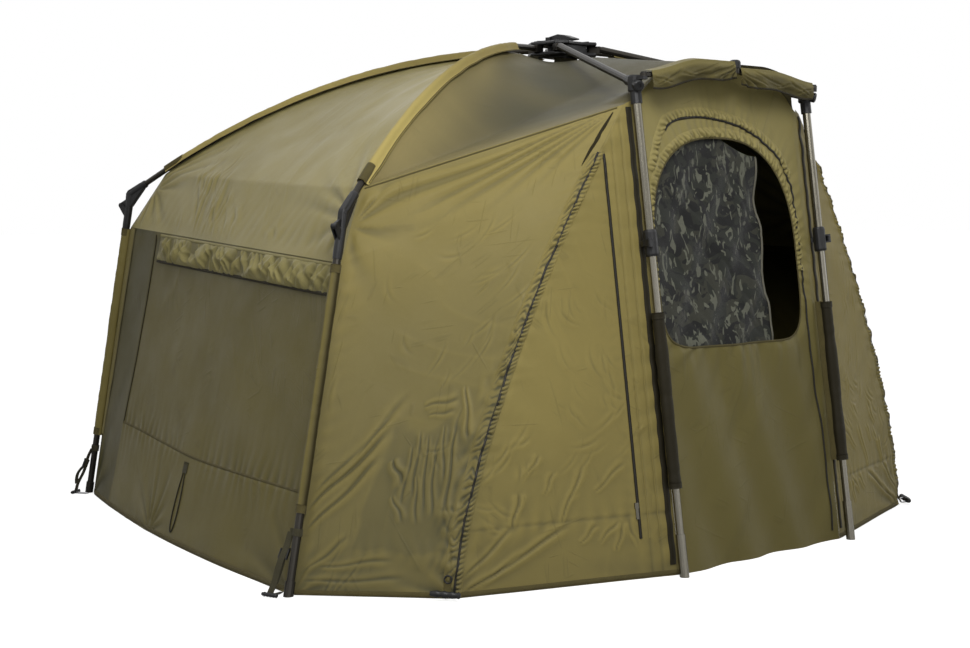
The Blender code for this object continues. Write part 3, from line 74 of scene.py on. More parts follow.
# the seam that frames the side windows: its u in front and behind, and its heights
PANE_REAR, PANE_FRONT, PANE_FOOT, PANE_FALL = 0.155, 0.975, 0.292, 0.03
TAB_U, TAB_LOW, TAB_WIDE, TAB_HIGH, TAB_THICK = 0.545, 0.212, 0.036, 0.034, 0.004
ZIP_AWAY, FLAP_SEAMS = 0.116, (0.052, 0.086)
PROUD = 0.0012
MIDDLE = np.array([0.0, 1.15, 0.45])
FORWARD, UP = np.array([0.0, -1.0, 0.0]), np.array([0.0, 0.0, 1.0])
ACROSS = np.array([1.0, 0.0, 0.0])
NAMES = {-1: "left", 1: "right"}
SIDES = (-1, 1)

FOLD = "frame_fold"
HINGE_Y = next(j["pos_m"][1] for j in frame["joints"] if j["name"] == FOLD)
SETBACK = HUB_Y + SIDE_PIN - HINGE_Y


def rib_values(pin, foot, reach, drop):
    run = np.array(foot) - np.array(pin)
    span = float(np.hypot(*run))
    slope = -2.0 * drop / (reach - BOW_START)
    end = np.array([1.0, slope]) / math.hypot(1.0, slope)
    corner = np.array([reach, -drop]) + end * RIB_END
    leg = np.array([span, -HUB_Z]) - corner
    return {"pin": np.array(pin), "out": run / span, "span": span, "reach": reach, "drop": drop,
            "corner": corner, "leg": leg / np.hypot(*leg)}


RIBS = {"rear": rib_values((-0.03, HUB_Y + REAR_PIN), (-0.811, 2.467), 1.46, 0.416),
        "side": rib_values((-0.08, HUB_Y + SIDE_PIN), (-1.34, 0.58), 0.985, 0.465)}


# Points as arrays whose last axis is x, y, z, in the layout until they become a mesh
def xyz(x, y, z):
    return np.stack(np.broadcast_arrays(np.asarray(x, float), y, z), axis=-1)


def mix(a, b, share):
    return a + (b - a) * np.asarray(share)[..., None]


def rise(share):
    share = np.clip(share, 0.0, 1.0)
    return share * share * (3.0 - 2.0 * share)


def bell(off, wide):
    return np.exp(-(off / wide) ** 2)


def unit(v):
    return v / np.maximum(np.linalg.norm(v, axis=-1, keepdims=True), 1e-9)


def lengths(steps):
    return np.linalg.norm(steps, axis=-1)


def running(points):
    return np.concatenate([[0.0], np.cumsum(lengths(np.diff(points, axis=0)))])


def rib_z(kind, along):
    r = RIBS[kind]
    bowed = np.clip(along - BOW_START, 0.0, None) / (r["reach"] - BOW_START)
    return HUB_Z - r["drop"] * bowed ** 2


def in_rib_plane(kind, along, z):
    r = RIBS[kind]
    return xyz(r["pin"][0] + r["out"][0] * along, r["pin"][1] + r["out"][1] * along, z)


def leg_reach(kind, z):
    r = RIBS[kind]
    high = r["corner"][1] + HUB_Z
    return r["corner"][0] + (r["span"] - r["corner"][0]) * (high - z) / high


def leg_cloth(kind, z):
    return in_rib_plane(kind, leg_reach(kind, z) - LEG_INSET, z)


def rib_cloth(kind, along):
    dip = HUB_DIP * np.clip(1.0 - along / DIP_REACH, 0.0, None) ** 2
    return in_rib_plane(kind, along, rib_z(kind, along) - BELOW_RIB - dip)


def rib_edge(kind, share):
    share = np.asarray(share, float)
    along = SLEEVE_END[kind] * np.minimum(share, CHAMFER) / CHAMFER
    rest = np.clip((share - CHAMFER) / (1.0 - CHAMFER), 0.0, 1.0)
    return mix(rib_cloth(kind, along), leg_cloth(kind, np.full_like(share, WALL_TOP[kind])), rest)


def ridge(share):
    z = RIDGE_Z * (1.0 - np.asarray(share, float))
    out = (z / RIDGE_Z) ** RIDGE_POWER
    x = -RIDGE_FOOT[0] + (RIDGE_FOOT[0] - RIDGE_TOP[0]) * out
    return xyz(x, RIDGE_FOOT[1] + (RIDGE_TOP[1] - RIDGE_FOOT[1]) * out, z)


def eave(share):
    return mix(rib_edge("side", CHAMFER), ridge(0.0), share)


def lean(z):
    return CORNER_Y * z / CORNER_Z


def front_line(share):
    z = DOOR_Z * (1.0 - np.asarray(share, float))
    return xyz(-DOOR_HALF, lean(z) + DOOR_BACK, z)


def quarter_edge(share):
    share = np.asarray(share, float)
    rest = np.clip((share - 1.0 + CHAMFER) / CHAMFER, 0.0, 1.0)
    high = rib_edge("side", CHAMFER + np.minimum(share, 1.0 - CHAMFER))
    low = leg_cloth("side", WALL_TOP["side"] * (1.0 - rest))
    return np.where((share < 1.0 - CHAMFER)[..., None], high, low)


# The panels' plain surfaces on the left side, each a function of u and v
def drawn_in(spot, u, v):
    # taut cloth between two curved edges sinks towards the tent's middle
    depth = SAG * 4.0 * u * (1.0 - u) * np.sin(math.pi * v)
    return spot + unit(MIDDLE - spot) * depth[..., None]


def roof_rear(u, v):
    left = rib_edge("rear", v)
    spot = mix(left, left * np.array([-1.0, 1.0, 1.0]), u)
    spot[..., 2] -= SAG * 4.0 * u * (1.0 - u) * v
    return spot


def roof_side(u, v):
    return drawn_in(mix(rib_edge("rear", v), rib_edge("side", v), u), u, v)


def brim_z(share):
    low = CORNER_Z + JOINT_HALF
    return low + (BRIM_Z - low) * rise(share / LEVEL_SHARE)


def brim_y(share):
    low = CORNER_Y - BRIM_FORWARD
    return low + (BRIM_Y - low) * share


def roof_front(u, v):
    # its sides follow the side ribs and the eaves, its middle the peak, its front the brim bars
    hand = np.where(u > 0.5, 1.0, -1.0)
    inner = 1.0 - np.abs(2.0 * u - 1.0)
    hub_edge = np.clip(v / HUB_ROW, 0.0, 1.0)
    start = mix(rib_edge("rear", 0.0), rib_edge("side", 0.0), hub_edge)
    along = np.clip((v - HUB_ROW) / (EAVE_ROW - HUB_ROW), 0.0, 1.0)
    edge = np.where((v < HUB_ROW)[..., None], start, rib_edge("side", CHAMFER * along))
    under = eave(np.clip((v - EAVE_ROW) / (1.0 - EAVE_ROW), 0.0, 1.0))
    edge = np.where((v > EAVE_ROW)[..., None], under, edge)
    back, front = HUB_Y + REAR_PIN, BRIM_Y + BRIM_BACK
    apex = HUB_Z - BELOW_RIB - HUB_DIP
    y = back + (front - back) * v
    high = apex + (PEAK_Z - apex) * rise((PEAK_FLAT_Y - y) / (PEAK_FLAT_Y - PEAK_Y))
    low = PEAK_Z + (BRIM_Z + BRIM_LIFT - PEAK_Z) * (PEAK_Y - y) / (PEAK_Y - front)
    spot = mix(edge, xyz(0.0, y, np.where(y > PEAK_Y, high, low)), inner)
    clear = FRONT_HALF - 0.015 - np.abs(spot[..., 0])
    follow = rise((v - 0.8) / 0.2) * rise(clear / 0.1)
    share = 1.0 - np.abs(spot[..., 0]) / FRONT_HALF
    spot[..., 2] += (brim_z(share) + BRIM_LIFT - spot[..., 2]) * follow
    spot[..., 1] += (brim_y(share) + BRIM_BACK - spot[..., 1]) * follow
    spot[..., 2] -= SAG * 0.7 * np.sin(math.pi * inner) * np.sin(math.pi * np.minimum(1.0, v * 1.1))
    spot[..., 0] *= -hand
    return spot


def side_wall(u, v):
    rear, front = (leg_cloth(kind, WALL_TOP[kind] * (1.0 - v)) for kind in ("rear", "side"))
    run = front - rear
    out = np.stack([run[..., 1], -run[..., 0], np.zeros_like(run[..., 0])], axis=-1)
    bow = WALL_BOW * 4.0 * u * (1.0 - u) * v ** 1.5
    return mix(rear, front, u) + unit(out) * bow[..., None]


def rear_wall(u, v):
    spot = leg_cloth("rear", WALL_TOP["rear"] * (1.0 - v))
    spot[..., 0] *= 1.0 - 2.0 * u
    spot[..., 1] += REAR_BOW * 4.0 * u * (1.0 - u) * v ** 1.5
    spot[..., 2] -= SAG * 4.0 * u * (1.0 - u) * (1.0 - v)
    return spot


def quarter(u, v):
    return drawn_in(mix(quarter_edge(v), ridge(v), u), u, v)


def wing(u, v):
    return mix(ridge(v), front_line(v), u)


# Noise and creases
def noise(x, y, seed):
    table = np.random.RandomState(seed).uniform(-1.0, 1.0, 4096)
    xi, yi = np.floor(x).astype(np.int64), np.floor(y).astype(np.int64)
    fx, fy = x - xi, y - yi
    fx, fy = fx * fx * (3.0 - 2.0 * fx), fy * fy * (3.0 - 2.0 * fy)

    def at(a, b):
        return table[(a * 73856093 ^ b * 19349663 ^ (a + 7 * b) * 83492791) & 4095]

    low = at(xi, yi) * (1.0 - fx) + at(xi + 1, yi) * fx
    high = at(xi, yi + 1) * (1.0 - fx) + at(xi + 1, yi + 1) * fx
    return low * (1.0 - fy) + high * fy


def ripple(run, *waves):
    # a factor about 1 that wavers along a run; a wave has its height, pitch and seed
    total = 1.0
    for high, pitch, seed in waves:
        total = total + high * noise(run / pitch, 0.0, seed)
    return total[:, None]


def turned(s, t, degrees):
    c, n = math.cos(math.radians(degrees)), math.sin(math.radians(degrees))
    return s * c + t * n, -s * n + t * c


def folds(s, t, degrees, pitch, length, seed):
    # soft wavy folds that run along the given direction
    a, b = turned(s, t, degrees)
    b = b + 0.35 * pitch * noise(a / length, b / (pitch * 3.0), seed + 1)
    return noise(a / length, b / pitch, seed)


def creases(s, t, degrees, pitch, length, seed, power=2.0):
    # thin raised lines, as in cloth that was packed away
    a, b = turned(s, t, degrees)
    line = 1.0 - 2.4 * np.abs(noise(a / length, b / pitch, seed))
    return np.clip(line, 0.0, 1.0) ** power


def puckers(along, across, pitch, width, seed):
    # short gathers that stand off a seam and die away from it
    sway = noise(along / (pitch * 2.2), across / (width * 2.0), seed)
    phase = 2.0 * math.pi * along / pitch + 2.4 * sway
    strength = 0.65 + 0.35 * noise(along / (pitch * 3.5), 0.0, seed + 3)
    return np.sin(phase) * np.exp(-across / width) * strength


# Meshes
def grid_normals(p):
    return unit(np.cross(np.gradient(p, axis=0), np.gradient(p, axis=1)))


def metric(p):
    # running lengths along the rows, from their middles, and down the columns
    s, t = np.zeros(p.shape[:2]), np.zeros(p.shape[:2])
    s[:, 1:] = np.cumsum(lengths(np.diff(p, axis=1)), axis=1)
    t[1:, :] = np.cumsum(lengths(np.diff(p, axis=0)), axis=0)
    return s - s[:, -1:] * 0.5, t


def cell_area(down, across):
    return float(lengths(np.cross(down, across)).sum())


def grid_faces(rows, cols, closed=False):
    k = np.arange(rows * cols).reshape(rows, cols)
    if closed:
        k = np.concatenate([k, k[:, :1]], axis=1)
    return np.stack([k[:-1, :-1], k[1:, :-1], k[1:, 1:], k[:-1, 1:]], axis=-1).reshape(-1, 4)


def circle(count, wide=1.0, high=None):
    # a closed round section
    turn = np.linspace(0.0, 2.0 * math.pi, count, endpoint=False)
    return np.stack([np.sin(turn) * wide, np.cos(turn) * (wide if high is None else high)], axis=-1)


def crown(half, inner, low, high, top=None):
    # a strip's section: its edges, its shoulders and, if given, its raised middle
    middle = [] if top is None else [(0.0, top)]
    return [(-half, low), (-inner, high), *middle, (inner, high), (half, low)]


def slab(half, low, high):
    return crown(half, half, low, high)


def smooth_route(points, steps):
    spots = np.array(points, float)
    ends = np.vstack([spots[0] * 2 - spots[1], spots, spots[-1] * 2 - spots[-2]])
    place = np.linspace(0.0, len(spots) - 1.0, steps + 1)
    k = np.minimum(place.astype(int), len(spots) - 2)
    t = (place - k)[:, None]
    a, b, c, d = ends[k], ends[k + 1], ends[k + 2], ends[k + 3]
    square, cube = 2 * a - 5 * b + 4 * c - d, 3 * b - a - 3 * c + d
    return 0.5 * (2 * b + (c - a) * t + square * t ** 2 + cube * t ** 3)


class Piece:
    # one object, gathered from grids and swept strips in layout places
    def __init__(self, name, *materials, side=-1):
        self.name, self.materials = name, materials
        self.flip = np.array([-side, 1.0, 1.0])
        self.verts, self.faces, self.slots, self.uv, self.shade, self.count = [], [], [], [], [], 0

    def add(self, verts, faces, slot, uv, shade=None):
        verts = np.asarray(verts, float).reshape(-1, 3)
        self.verts.append(verts)
        self.faces += [[int(k) + self.count for k in f] for f in faces]
        self.slots += [slot] * len(faces)
        self.uv.append(np.asarray(uv, float).reshape(-1, 2))
        shade = np.zeros(len(verts)) if shade is None else np.asarray(shade, float)
        self.shade.append(shade.reshape(-1))
        self.count += len(verts)

    def grid(self, p, outward, shade=None, uv=None, closed=False):
        faces = grid_faces(*p.shape[:2], closed)
        if np.sum(grid_normals(p) * outward) < 0.0:
            faces = faces[:, ::-1]
        uv = np.stack(metric(p), axis=-1) if uv is None else uv
        self.add(p, faces.tolist(), 0, uv, shade)

    def sweep(self, points, normals, section, slot=0, closed=True, shade=None):
        # section is a list of (sideways, up) places, or one such list for each point
        points = np.asarray(points, float) * self.flip
        along = unit(np.gradient(points, axis=0))
        side = unit(np.cross(along, np.broadcast_to(normals * self.flip, points.shape)))
        up = np.cross(side, along)
        section = np.asarray(section, float)
        section = np.broadcast_to(section, (len(points),) + section.shape[-2:])
        p = points[:, None] + side[:, None] * section[..., :1] + up[:, None] * section[..., 1:]
        rows, ring = p.shape[:2]
        faces = grid_faces(rows, ring, closed)
        if closed:
            middle = p.mean(axis=1, keepdims=True)
            facing = np.cross(np.gradient(p, axis=0), np.roll(p, -1, 1) - p)
            first, last = list(range(ring)), list(range(rows * ring - ring, rows * ring))
            if np.sum(facing * (p - middle)) < 0.0:
                faces = faces[:, ::-1].tolist() + [first, last[::-1]]
            else:
                faces = faces.tolist() + [first[::-1], last]
        else:
            facing = np.cross(p[1:, :-1] - p[:-1, :-1], p[:-1, 1:] - p[:-1, :-1])
            if np.sum(facing * up[:-1, None]) < 0.0:
                faces = faces[:, ::-1]
            faces = faces.tolist()
        self.add(p, faces, slot, np.stack(metric(p), axis=-1), shade)

    def build(self, body="shell", stands_for=(), fold=True, sharp=None):
        verts = np.concatenate(self.verts)
        verts[:, 1] -= SETBACK
        mesh = bpy.data.meshes.new(self.name)
        mesh.from_pydata(verts.tolist(), [], self.faces)
        loops = np.empty(len(mesh.loops), dtype=np.int64)
        mesh.loops.foreach_get("vertex_index", loops)
        layer = mesh.uv_layers.new(name="cloth")
        layer.data.foreach_set("uv", np.concatenate(self.uv)[loops].ravel())
        shade = mesh.attributes.new("shade", "FLOAT", "POINT")
        shade.data.foreach_set("value", np.concatenate(self.shade))
        for material in self.materials:
            mesh.materials.append(material)
        mesh.polygons.foreach_set("material_index", self.slots)
        mesh.polygons.foreach_set("use_smooth", [True] * len(mesh.polygons))
        if sharp is not None:
            mesh.set_sharp_from_angle(angle=math.radians(sharp))
        mesh.update()
        made = placed(self.name, mesh)
        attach(made, body)
        if stands_for:
            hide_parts(*stands_for)
        if fold and body in ("shell", "zip_left", "zip_right"):
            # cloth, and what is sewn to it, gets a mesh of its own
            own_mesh(made)
        return made


def placed(name, data):
    made = bpy.data.objects.new(name, data)
    bpy.context.collection.objects.link(made)
    return made


def strip(name, finish, line, out, section, closed=True):
    # a seam, an edging or a binding: one swept piece
    made = Piece(name, finish)
    made.sweep(line, out, section, closed=closed)
    return made.build()


def seam_mask(places, fade, edges="tblr"):
    # 0 on the named seams and 1 a short way inside them
    u, v, _, _, wide, long = places
    long = np.maximum(long, 1e-6)
    m = np.ones_like(u)
    for edge, away in (("l", u * wide), ("r", (1.0 - u) * wide),
                       ("t", v * long), ("b", (1.0 - v) * long)):
        if edge in edges:
            m = m * rise(away / fade)
    return m


# painted shade: hollows, where the cloth lies lower than around it, are painted darker and rises
# lighter:
# how many cells around count, the depth that is fully dark, the lightest a rise gets, and the
# shade's strength
HOLLOW_CELLS, HOLLOW_DEEP, HOLLOW_LIGHT, HOLLOW_SHADE = 26, 0.0022, -0.4, 0.42


class Cloth:
    # a panel: its grid, its relief and what lies on it
    def __init__(self, surface, us, vs, side, relief, seed, push=None):
        self.us, self.vs, self.side, self.seed = us, vs, side, seed
        u, v = np.meshgrid(us, vs)
        p = surface(u, v)
        p[..., 0] *= -side
        self.flat = p.copy()
        n = grid_normals(p)
        if np.sum(n * (p - MIDDLE)) < 0.0:
            n = -n
        self.s, t = metric(p)
        self.wide = np.maximum(self.s[:, -1:] - self.s[:, :1], 1e-6)
        self.places = u, v, self.s, t, self.wide, t[-1:, :]
        d, m = relief(self)
        height = d * m + PROUD * m
        self.p, self.n = p + n * height[..., None], n
        around = height.copy()
        for _ in range(HOLLOW_CELLS):
            around = np.pad(around, 1, mode="edge")
            around = (around[:-2, 1:-1] + around[2:, 1:-1]
                      + around[1:-1, :-2] + around[1:-1, 2:]) / 4.0
        # painted shade in the hollows and painted light on the rises
        self.hollow = np.clip((around - height) / HOLLOW_DEEP, HOLLOW_LIGHT, 1.0)
        if push is not None:
            self.p = self.p + push(self) * np.array([-side, 1.0, 1.0])
        across, down = np.diff(self.flat, axis=1), np.diff(self.flat, axis=0)
        self.width = float(lengths(across).sum(1).max())
        self.length = float(lengths(down).sum(0).max())
        self.area = cell_area(across[:-1], down[:, :-1])

    def at(self, u, v, lift=0.0, flat=False):
        # the places and normals at u and v, lifted off the panel
        grid = self.flat if flat else self.p
        x = np.interp(u, self.us, np.arange(len(self.us)))
        y = np.interp(v, self.vs, np.arange(len(self.vs)))
        i = np.minimum(y.astype(int), len(self.vs) - 2)
        j = np.minimum(x.astype(int), len(self.us) - 2)
        a, b = (x - j)[..., None], (y - i)[..., None]

        def blend(g):
            high = g[i, j] * (1 - a) + g[i, j + 1] * a
            low = g[i + 1, j] * (1 - a) + g[i + 1, j + 1] * a
            return high * (1 - b) + low * b

        n = unit(blend(self.n))
        return blend(grid) + n * np.asarray(lift, float)[..., None], n

    def wide_at(self, v):
        return np.interp(v, self.vs, self.s[:, -1] - self.s[:, 0])

    def piece(self, name, material, stands_for, shade, held="stretched", rests=()):
        made = Piece(name, material)
        # the panel's painted shade, more in its hollows and less on its rises
        painted_shade = np.clip(HOLLOW_SHADE * self.hollow + shade(self), 0.0, 1.0)
        made.grid(self.p, self.n, painted_shade, np.stack(self.places[2:4], axis=-1))
        done = made.build(stands_for=stands_for)


def spread(length, pitch=0.011):
    return np.linspace(0.0, 1.0, max(3, int(round(length / pitch)) + 1))


# Nodes
def put(tree, socket, value):
    if isinstance(value, bpy.types.NodeSocket):
        tree.links.new(value, socket)
    else:
        socket.default_value = value


def add_node(tree, kind, values=(), **settings):
    made = tree.nodes.new("ShaderNode" + kind)
    for key, value in settings.items():
        setattr(made, key, value)
    for key, value in dict(values).items():
        put(tree, made.inputs[key], value)
    return made.outputs


# Camera, lights and floor
EYE, AIM = (-4.138, -3.113, 1.029), (0.762, -0.066, -0.003)
LENS, SENSOR, FAR = 65.03, 36.0, 200.0
SOFTBOX, SOFTBOX_AIM = Vector((-2.05, -2.75, 2.75)), Vector((-0.35, -0.4, 0.75))
SOFTBOX_SIZE, SOFTBOX_POWER = 1.3, 69.0
SUNS = (("top", (-0.1, 0.15, 0.98), 0.55, 40.0), ("left", (-0.95, 0.2, 0.45), 0.22, 50.0),
        ("right", (0.8, -0.45, 0.4), 0.44, 50.0), ("front", (-0.42, -0.9, 0.05), 0.52, 40.0),
        ("back", (0.5, 0.8, 0.35), 0.24, 60.0))
AMBIENT, FLOOR_GLOW, FLOOR_HALF, FLOOR_Z = 0.13, 0.8, 60.0, -0.001
WHITE, PAPER = (1.0, 1.0, 1.0, 1.0), (0.62, 0.62, 0.61, 1.0)


def set_camera():
    camera = bpy.data.cameras.new("camera")
    camera.sensor_fit, camera.sensor_width, camera.lens = "HORIZONTAL", SENSOR, LENS
    camera.clip_end = FAR
    eye = placed("camera", camera)
    yaw, pitch, roll = AIM
    level = math.cos(pitch)
    ahead = Vector((math.sin(yaw) * level, math.cos(yaw) * level, math.sin(pitch)))
    right = Vector((math.cos(yaw), -math.sin(yaw), 0.0))
    up = right.cross(ahead)
    c, n = math.cos(roll), math.sin(roll)
    right, up = right * c + up * n, up * c - right * n
    turn = Matrix((right, up, -ahead)).transposed().to_4x4()
    eye.matrix_world = Matrix.Translation((EYE[0], EYE[1] - SETBACK, EYE[2])) @ turn
    bpy.context.scene.camera = eye


def set_lights():
    softbox = bpy.data.lights.new("softbox", "AREA")
    softbox.shape, softbox.size, softbox.energy = "DISK", SOFTBOX_SIZE, SOFTBOX_POWER
    made = placed("softbox", softbox)
    made.location = SOFTBOX
    made.rotation_euler = (SOFTBOX - SOFTBOX_AIM).to_track_quat("Z", "Y").to_euler()
    made.visible_camera = False
    for name, toward, strength, angle in SUNS:
        lamp = bpy.data.lights.new(name, "SUN")
        lamp.energy, lamp.angle = strength, math.radians(angle)
        placed(name, lamp).rotation_euler = Vector(toward).to_track_quat("Z", "Y").to_euler()


def set_world():
    # white to the camera and in reflections and glass, and dimmer as light on the cloth
    world = bpy.data.worlds.new("studio")
    bpy.context.scene.world = world
    world.use_nodes = True
    tree = world.node_tree
    ground = tree.nodes["Background"]
    path = add_node(tree, "LightPath")
    also = add_node(tree, "Math", {0: path["Is Glossy Ray"], 1: path["Is Transmission Ray"]},
                    operation="MAXIMUM")
    seen = add_node(tree, "Math", {0: path["Is Camera Ray"], 1: also[0]}, operation="MAXIMUM")
    tone = add_node(tree, "Mix", {0: seen[0], 2: AMBIENT, 3: 1.0}, data_type="FLOAT")
    put(tree, ground.inputs["Strength"], tone[0])
    put(tree, ground.inputs["Color"], WHITE)
    bpy.context.scene.view_settings.view_transform = "Standard"


def set_floor():
    paper = bpy.data.materials.new("floor")
    paper.use_nodes = True
    tree = paper.node_tree
    plain = tree.nodes["Principled BSDF"]
    path = add_node(tree, "LightPath")
    lift = add_node(tree, "Math", {1: FLOOR_GLOW, 0: path["Is Camera Ray"]}, operation="MULTIPLY")
    for key, value in (("Base Color", PAPER), ("Roughness", 0.9), ("Specular IOR Level", 0.0),
                       ("Emission Color", WHITE), ("Emission Strength", lift[0])):
        put(tree, plain.inputs[key], value)
    mesh = bpy.data.meshes.new("floor")
    far = FLOOR_HALF
    corners = [(-far, -far, 0), (far, -far, 0), (far, far, 0), (-far, far, 0)]
    mesh.from_pydata(corners, [], [(0, 1, 2, 3)])
    mesh.materials.append(paper)
    floor = placed("floor", mesh)
    floor.location.z = FLOOR_Z


# Finishes, each built from nodes on the piece's own places in metres
def linear(*rgb):
    # a screen colour, all of its shares above 10 of 255, as linear light
    return tuple(((c / 255 + 0.055) / 1.055) ** 2.4 for c in rgb) + (1.0,)


def times(colour, share):
    return tuple(min(1.0, c * share) for c in colour[:3]) + (1.0,)


class Finish:
    def __init__(self, name, roughness, metallic=0.0):
        self.mat = bpy.data.materials.new(name)
        self.mat.use_nodes = True
        self.tree = self.mat.node_tree
        self.bsdf = self.tree.nodes["Principled BSDF"]
        self.roughness = roughness
        self.set(Roughness=roughness, Metallic=metallic)
        place = self.node("TexCoord")
        self.place, self.cut = place["Object"], place["UV"]
        self.relief = None

    def node(self, kind, values=(), **settings):
        return add_node(self.tree, kind, values, **settings)

    def noise(self, scale, detail=4.0, where=None, roughness=0.55, warp=0.0):
        values = {"Vector": where or self.place, "Scale": scale, "Detail": detail,
                  "Roughness": roughness, "Distortion": warp}
        return self.node("TexNoise", values)[0]

    def math(self, operation, a, b=0.0):
        return self.node("Math", {0: a, 1: b}, operation=operation)[0]

    def mix(self, share, a, b):
        return self.node("Mix", {0: share, 6: a, 7: b}, data_type="RGBA")[2]

    def ramp(self, share, low, high, first=0.0, last=1.0):
        return self.node("MapRange", {"From Min": low, "From Max": high, "To Min": first,
                                      "To Max": last, "Value": share})[0]

    def spots(self, low, high, most, scale, detail=4.0, where=None, roughness=0.55):
        # scattered places of a noise, from none to the most
        return self.ramp(self.noise(scale, detail, where, roughness), low, high, 0.0, most)

    def moved(self, scale=(1, 1, 1), turn=(0, 0, 0), where=None):
        values = {"Vector": where or self.place, "Scale": scale, "Rotation": turn}
        return self.node("Mapping", values)[0]

    def warped(self, scale, strength):
        drift = self.node("TexNoise", {"Vector": self.place, "Scale": scale})[1]
        values = {0: drift, 1: (strength,) * 3, 2: self.place}
        return self.node("VectorMath", values, operation="MULTIPLY_ADD")[0]

    def threads(self, pitch, across=0):
        # fine ribs over the cloth's own flat places
        split = self.node("SeparateXYZ", {0: self.cut})
        turns = self.math("MULTIPLY", split[across], 2.0 * math.pi / pitch)
        return self.math("SINE", turns)

    def weave(self, pitch, cross):
        return self.math("MULTIPLY", self.threads(pitch), self.threads(cross, 1))

    def bump(self, height, distance, strength):
        values = {"Strength": strength, "Distance": distance, "Height": height}
        if self.relief is not None:
            values["Normal"] = self.relief
        self.relief = self.node("Bump", values)[0]
        self.set(Normal=self.relief)

    def attribute(self, name):
        return self.node("Attribute", attribute_name=name)["Fac"]

    def colour(self, value):
        self.set(Base_Color=value)

    def rough(self, share, smoother, rougher):
        # the roughness wanders about its middle value
        low, high = self.roughness - smoother, self.roughness + rougher
        self.set(Roughness=self.ramp(share, 0.3, 0.7, low, high))

    def set(self, **values):
        for key, value in values.items():
            put(self.tree, self.bsdf.inputs[key.replace("_", " ")], value)
        return self.mat


# sparse, nearly straight hairline creases: lean in degrees, length and pitch in metres, and
# the share of the noise where their patches begin and are full
HAIRLINES = ((62.0, 1.2, 0.075, 0.6, 0.66), (-24.0, 1.0, 0.07, 0.61, 0.67),
             (18.0, 0.9, 0.055, 0.61, 0.67), (84.0, 0.8, 0.05, 0.61, 0.66))
HAIRLINE_WIDE, HAIRLINE_PATCH = 0.022, 8.5
THREAD, TAPE_RIB, TAPE_CROSS, CAMO_THREAD = 0.0016, 0.0024, 0.0013, 0.0018


def hairlines(f, seed, lean_by, length, pitch, low, high):
    where = {"Vector": f.cut, "Rotation": (0.0, 0.0, math.radians(lean_by)),
             "Scale": (length, pitch, 1.0), "Location": (seed * 3.7, seed * 1.3, 0.0)}
    drawn = f.node("Mapping", where, vector_type="TEXTURE")[0]
    off = f.math("ABSOLUTE", f.math("SUBTRACT", f.noise(1.0, 1.2, drawn, 0.35), 0.5))
    line = f.ramp(off, 0.0, HAIRLINE_WIDE, 1.0, 0.0)
    where = f.moved((1, 1, 1), (seed, 0.4 * seed, 0.9))
    return f.math("MULTIPLY", line, f.spots(low, high, 1.0, HAIRLINE_PATCH, 1.0, where))


def nylon_finish(name, colour, dark=None, roughness=0.5, crinkle=1.0, crease_shade=1.0):
    # proofed nylon with packing creases; its shade attribute, which is painted shade, leads to the
    # dark colour
    f = Finish(name, roughness)
    dark = times(dark, 1.0) if dark else times(colour, 0.55)
    base = f.mix(f.spots(0.3, 0.7, 1.0, 1.9, 3.0), times(colour, 0.9), times(colour, 1.08))
    speck = f.spots(0.4, 0.75, 0.16, 55.0, 6.0, roughness=0.7)
    base = f.mix(speck, base, times(colour, 0.82))
    # painted shade: towards the dark colour where the shade attribute says
    base = f.mix(f.attribute("shade"), base, dark)
    lines = [hairlines(f, seed + 1.0, *line) for seed, line in enumerate(HAIRLINES)]
    crease_lines = f.math("MAXIMUM", f.math("MAXIMUM", *lines[:2]), f.math("MAXIMUM", *lines[2:]))
    # painted shade: the hairline creases are drawn darker
    f.colour(f.mix(f.math("MULTIPLY", crease_lines, 0.13 * crease_shade), base, times(dark, 0.6)))
    f.rough(f.noise(7.0, 4.0), 0.06, 0.08)
    f.bump(crease_lines, 0.0009 * crinkle, 0.7)
    where = f.moved((1.0, 1.0, 0.45), (0.2, 0.3, 0.5))
    f.bump(f.noise(5.5, 3.0, where, 0.45), 0.01 * crinkle, 0.45)
    f.bump(f.noise(30.0, 4.0, roughness=0.5, warp=0.8), 0.002 * crinkle, 0.3)
    f.bump(f.weave(THREAD, THREAD), 0.0001, 0.5)
    return f.set(Sheen_Weight=0.03, Sheen_Roughness=0.45, Specular_IOR_Level=0.14,
                 Sheen_Tint=(0.85, 0.82, 0.62, 1.0))


def webbing_finish(name, colour):
    f = Finish(name, 0.78)
    grain = f.weave(TAPE_RIB, TAPE_CROSS)
    base = f.mix(f.ramp(grain, -1.0, 1.0), times(colour, 0.65), times(colour, 1.25))
    f.colour(f.mix(f.spots(0.35, 0.7, 0.5, 30.0), base, times(colour, 0.7)))
    f.bump(grain, 0.0003, 0.8)
    f.bump(f.noise(260.0, 3.0), 0.0002, 0.6)
    return f.set(Sheen_Weight=0.04, Specular_IOR_Level=0.14)


def moulded_finish(name, colour, roughness):
    f = Finish(name, roughness)
    base = f.mix(f.spots(0.35, 0.7, 1.0, 22.0, 5.0), times(colour, 0.8), times(colour, 1.35))
    scuffs = f.spots(0.6, 0.78, 0.22, 120.0, 8.0, f.moved((1.0, 1.0, 0.12)), 0.7)
    f.colour(f.mix(scuffs, base, (0.05, 0.05, 0.048, 1.0)))
    f.rough(f.noise(60.0), 0.06, 0.14)
    f.bump(f.noise(900.0, 2.0), 0.00012, 0.7)
    f.bump(f.noise(45.0, 3.0), 0.0004, 0.3)
    return f.set(Specular_IOR_Level=0.32)


def metal_finish(name, colour, roughness, metallic=1.0, streak=(40.0, 40.0, 1.5)):
    # drawn tube: faint streaks along it and small worn spots
    f = Finish(name, roughness, metallic)
    drawn = f.noise(9.0, 6.0, f.moved(streak), 0.65)
    base = f.mix(f.ramp(drawn, 0.3, 0.7), times(colour, 0.9), times(colour, 1.08))
    spots = f.spots(0.62, 0.74, 0.3, 140.0, 6.0, roughness=0.7)
    f.colour(f.mix(spots, base, times(colour, 0.5)))
    f.rough(drawn, 0.03, 0.06)
    f.bump(drawn, 0.00004, 0.4)
    return f.mat


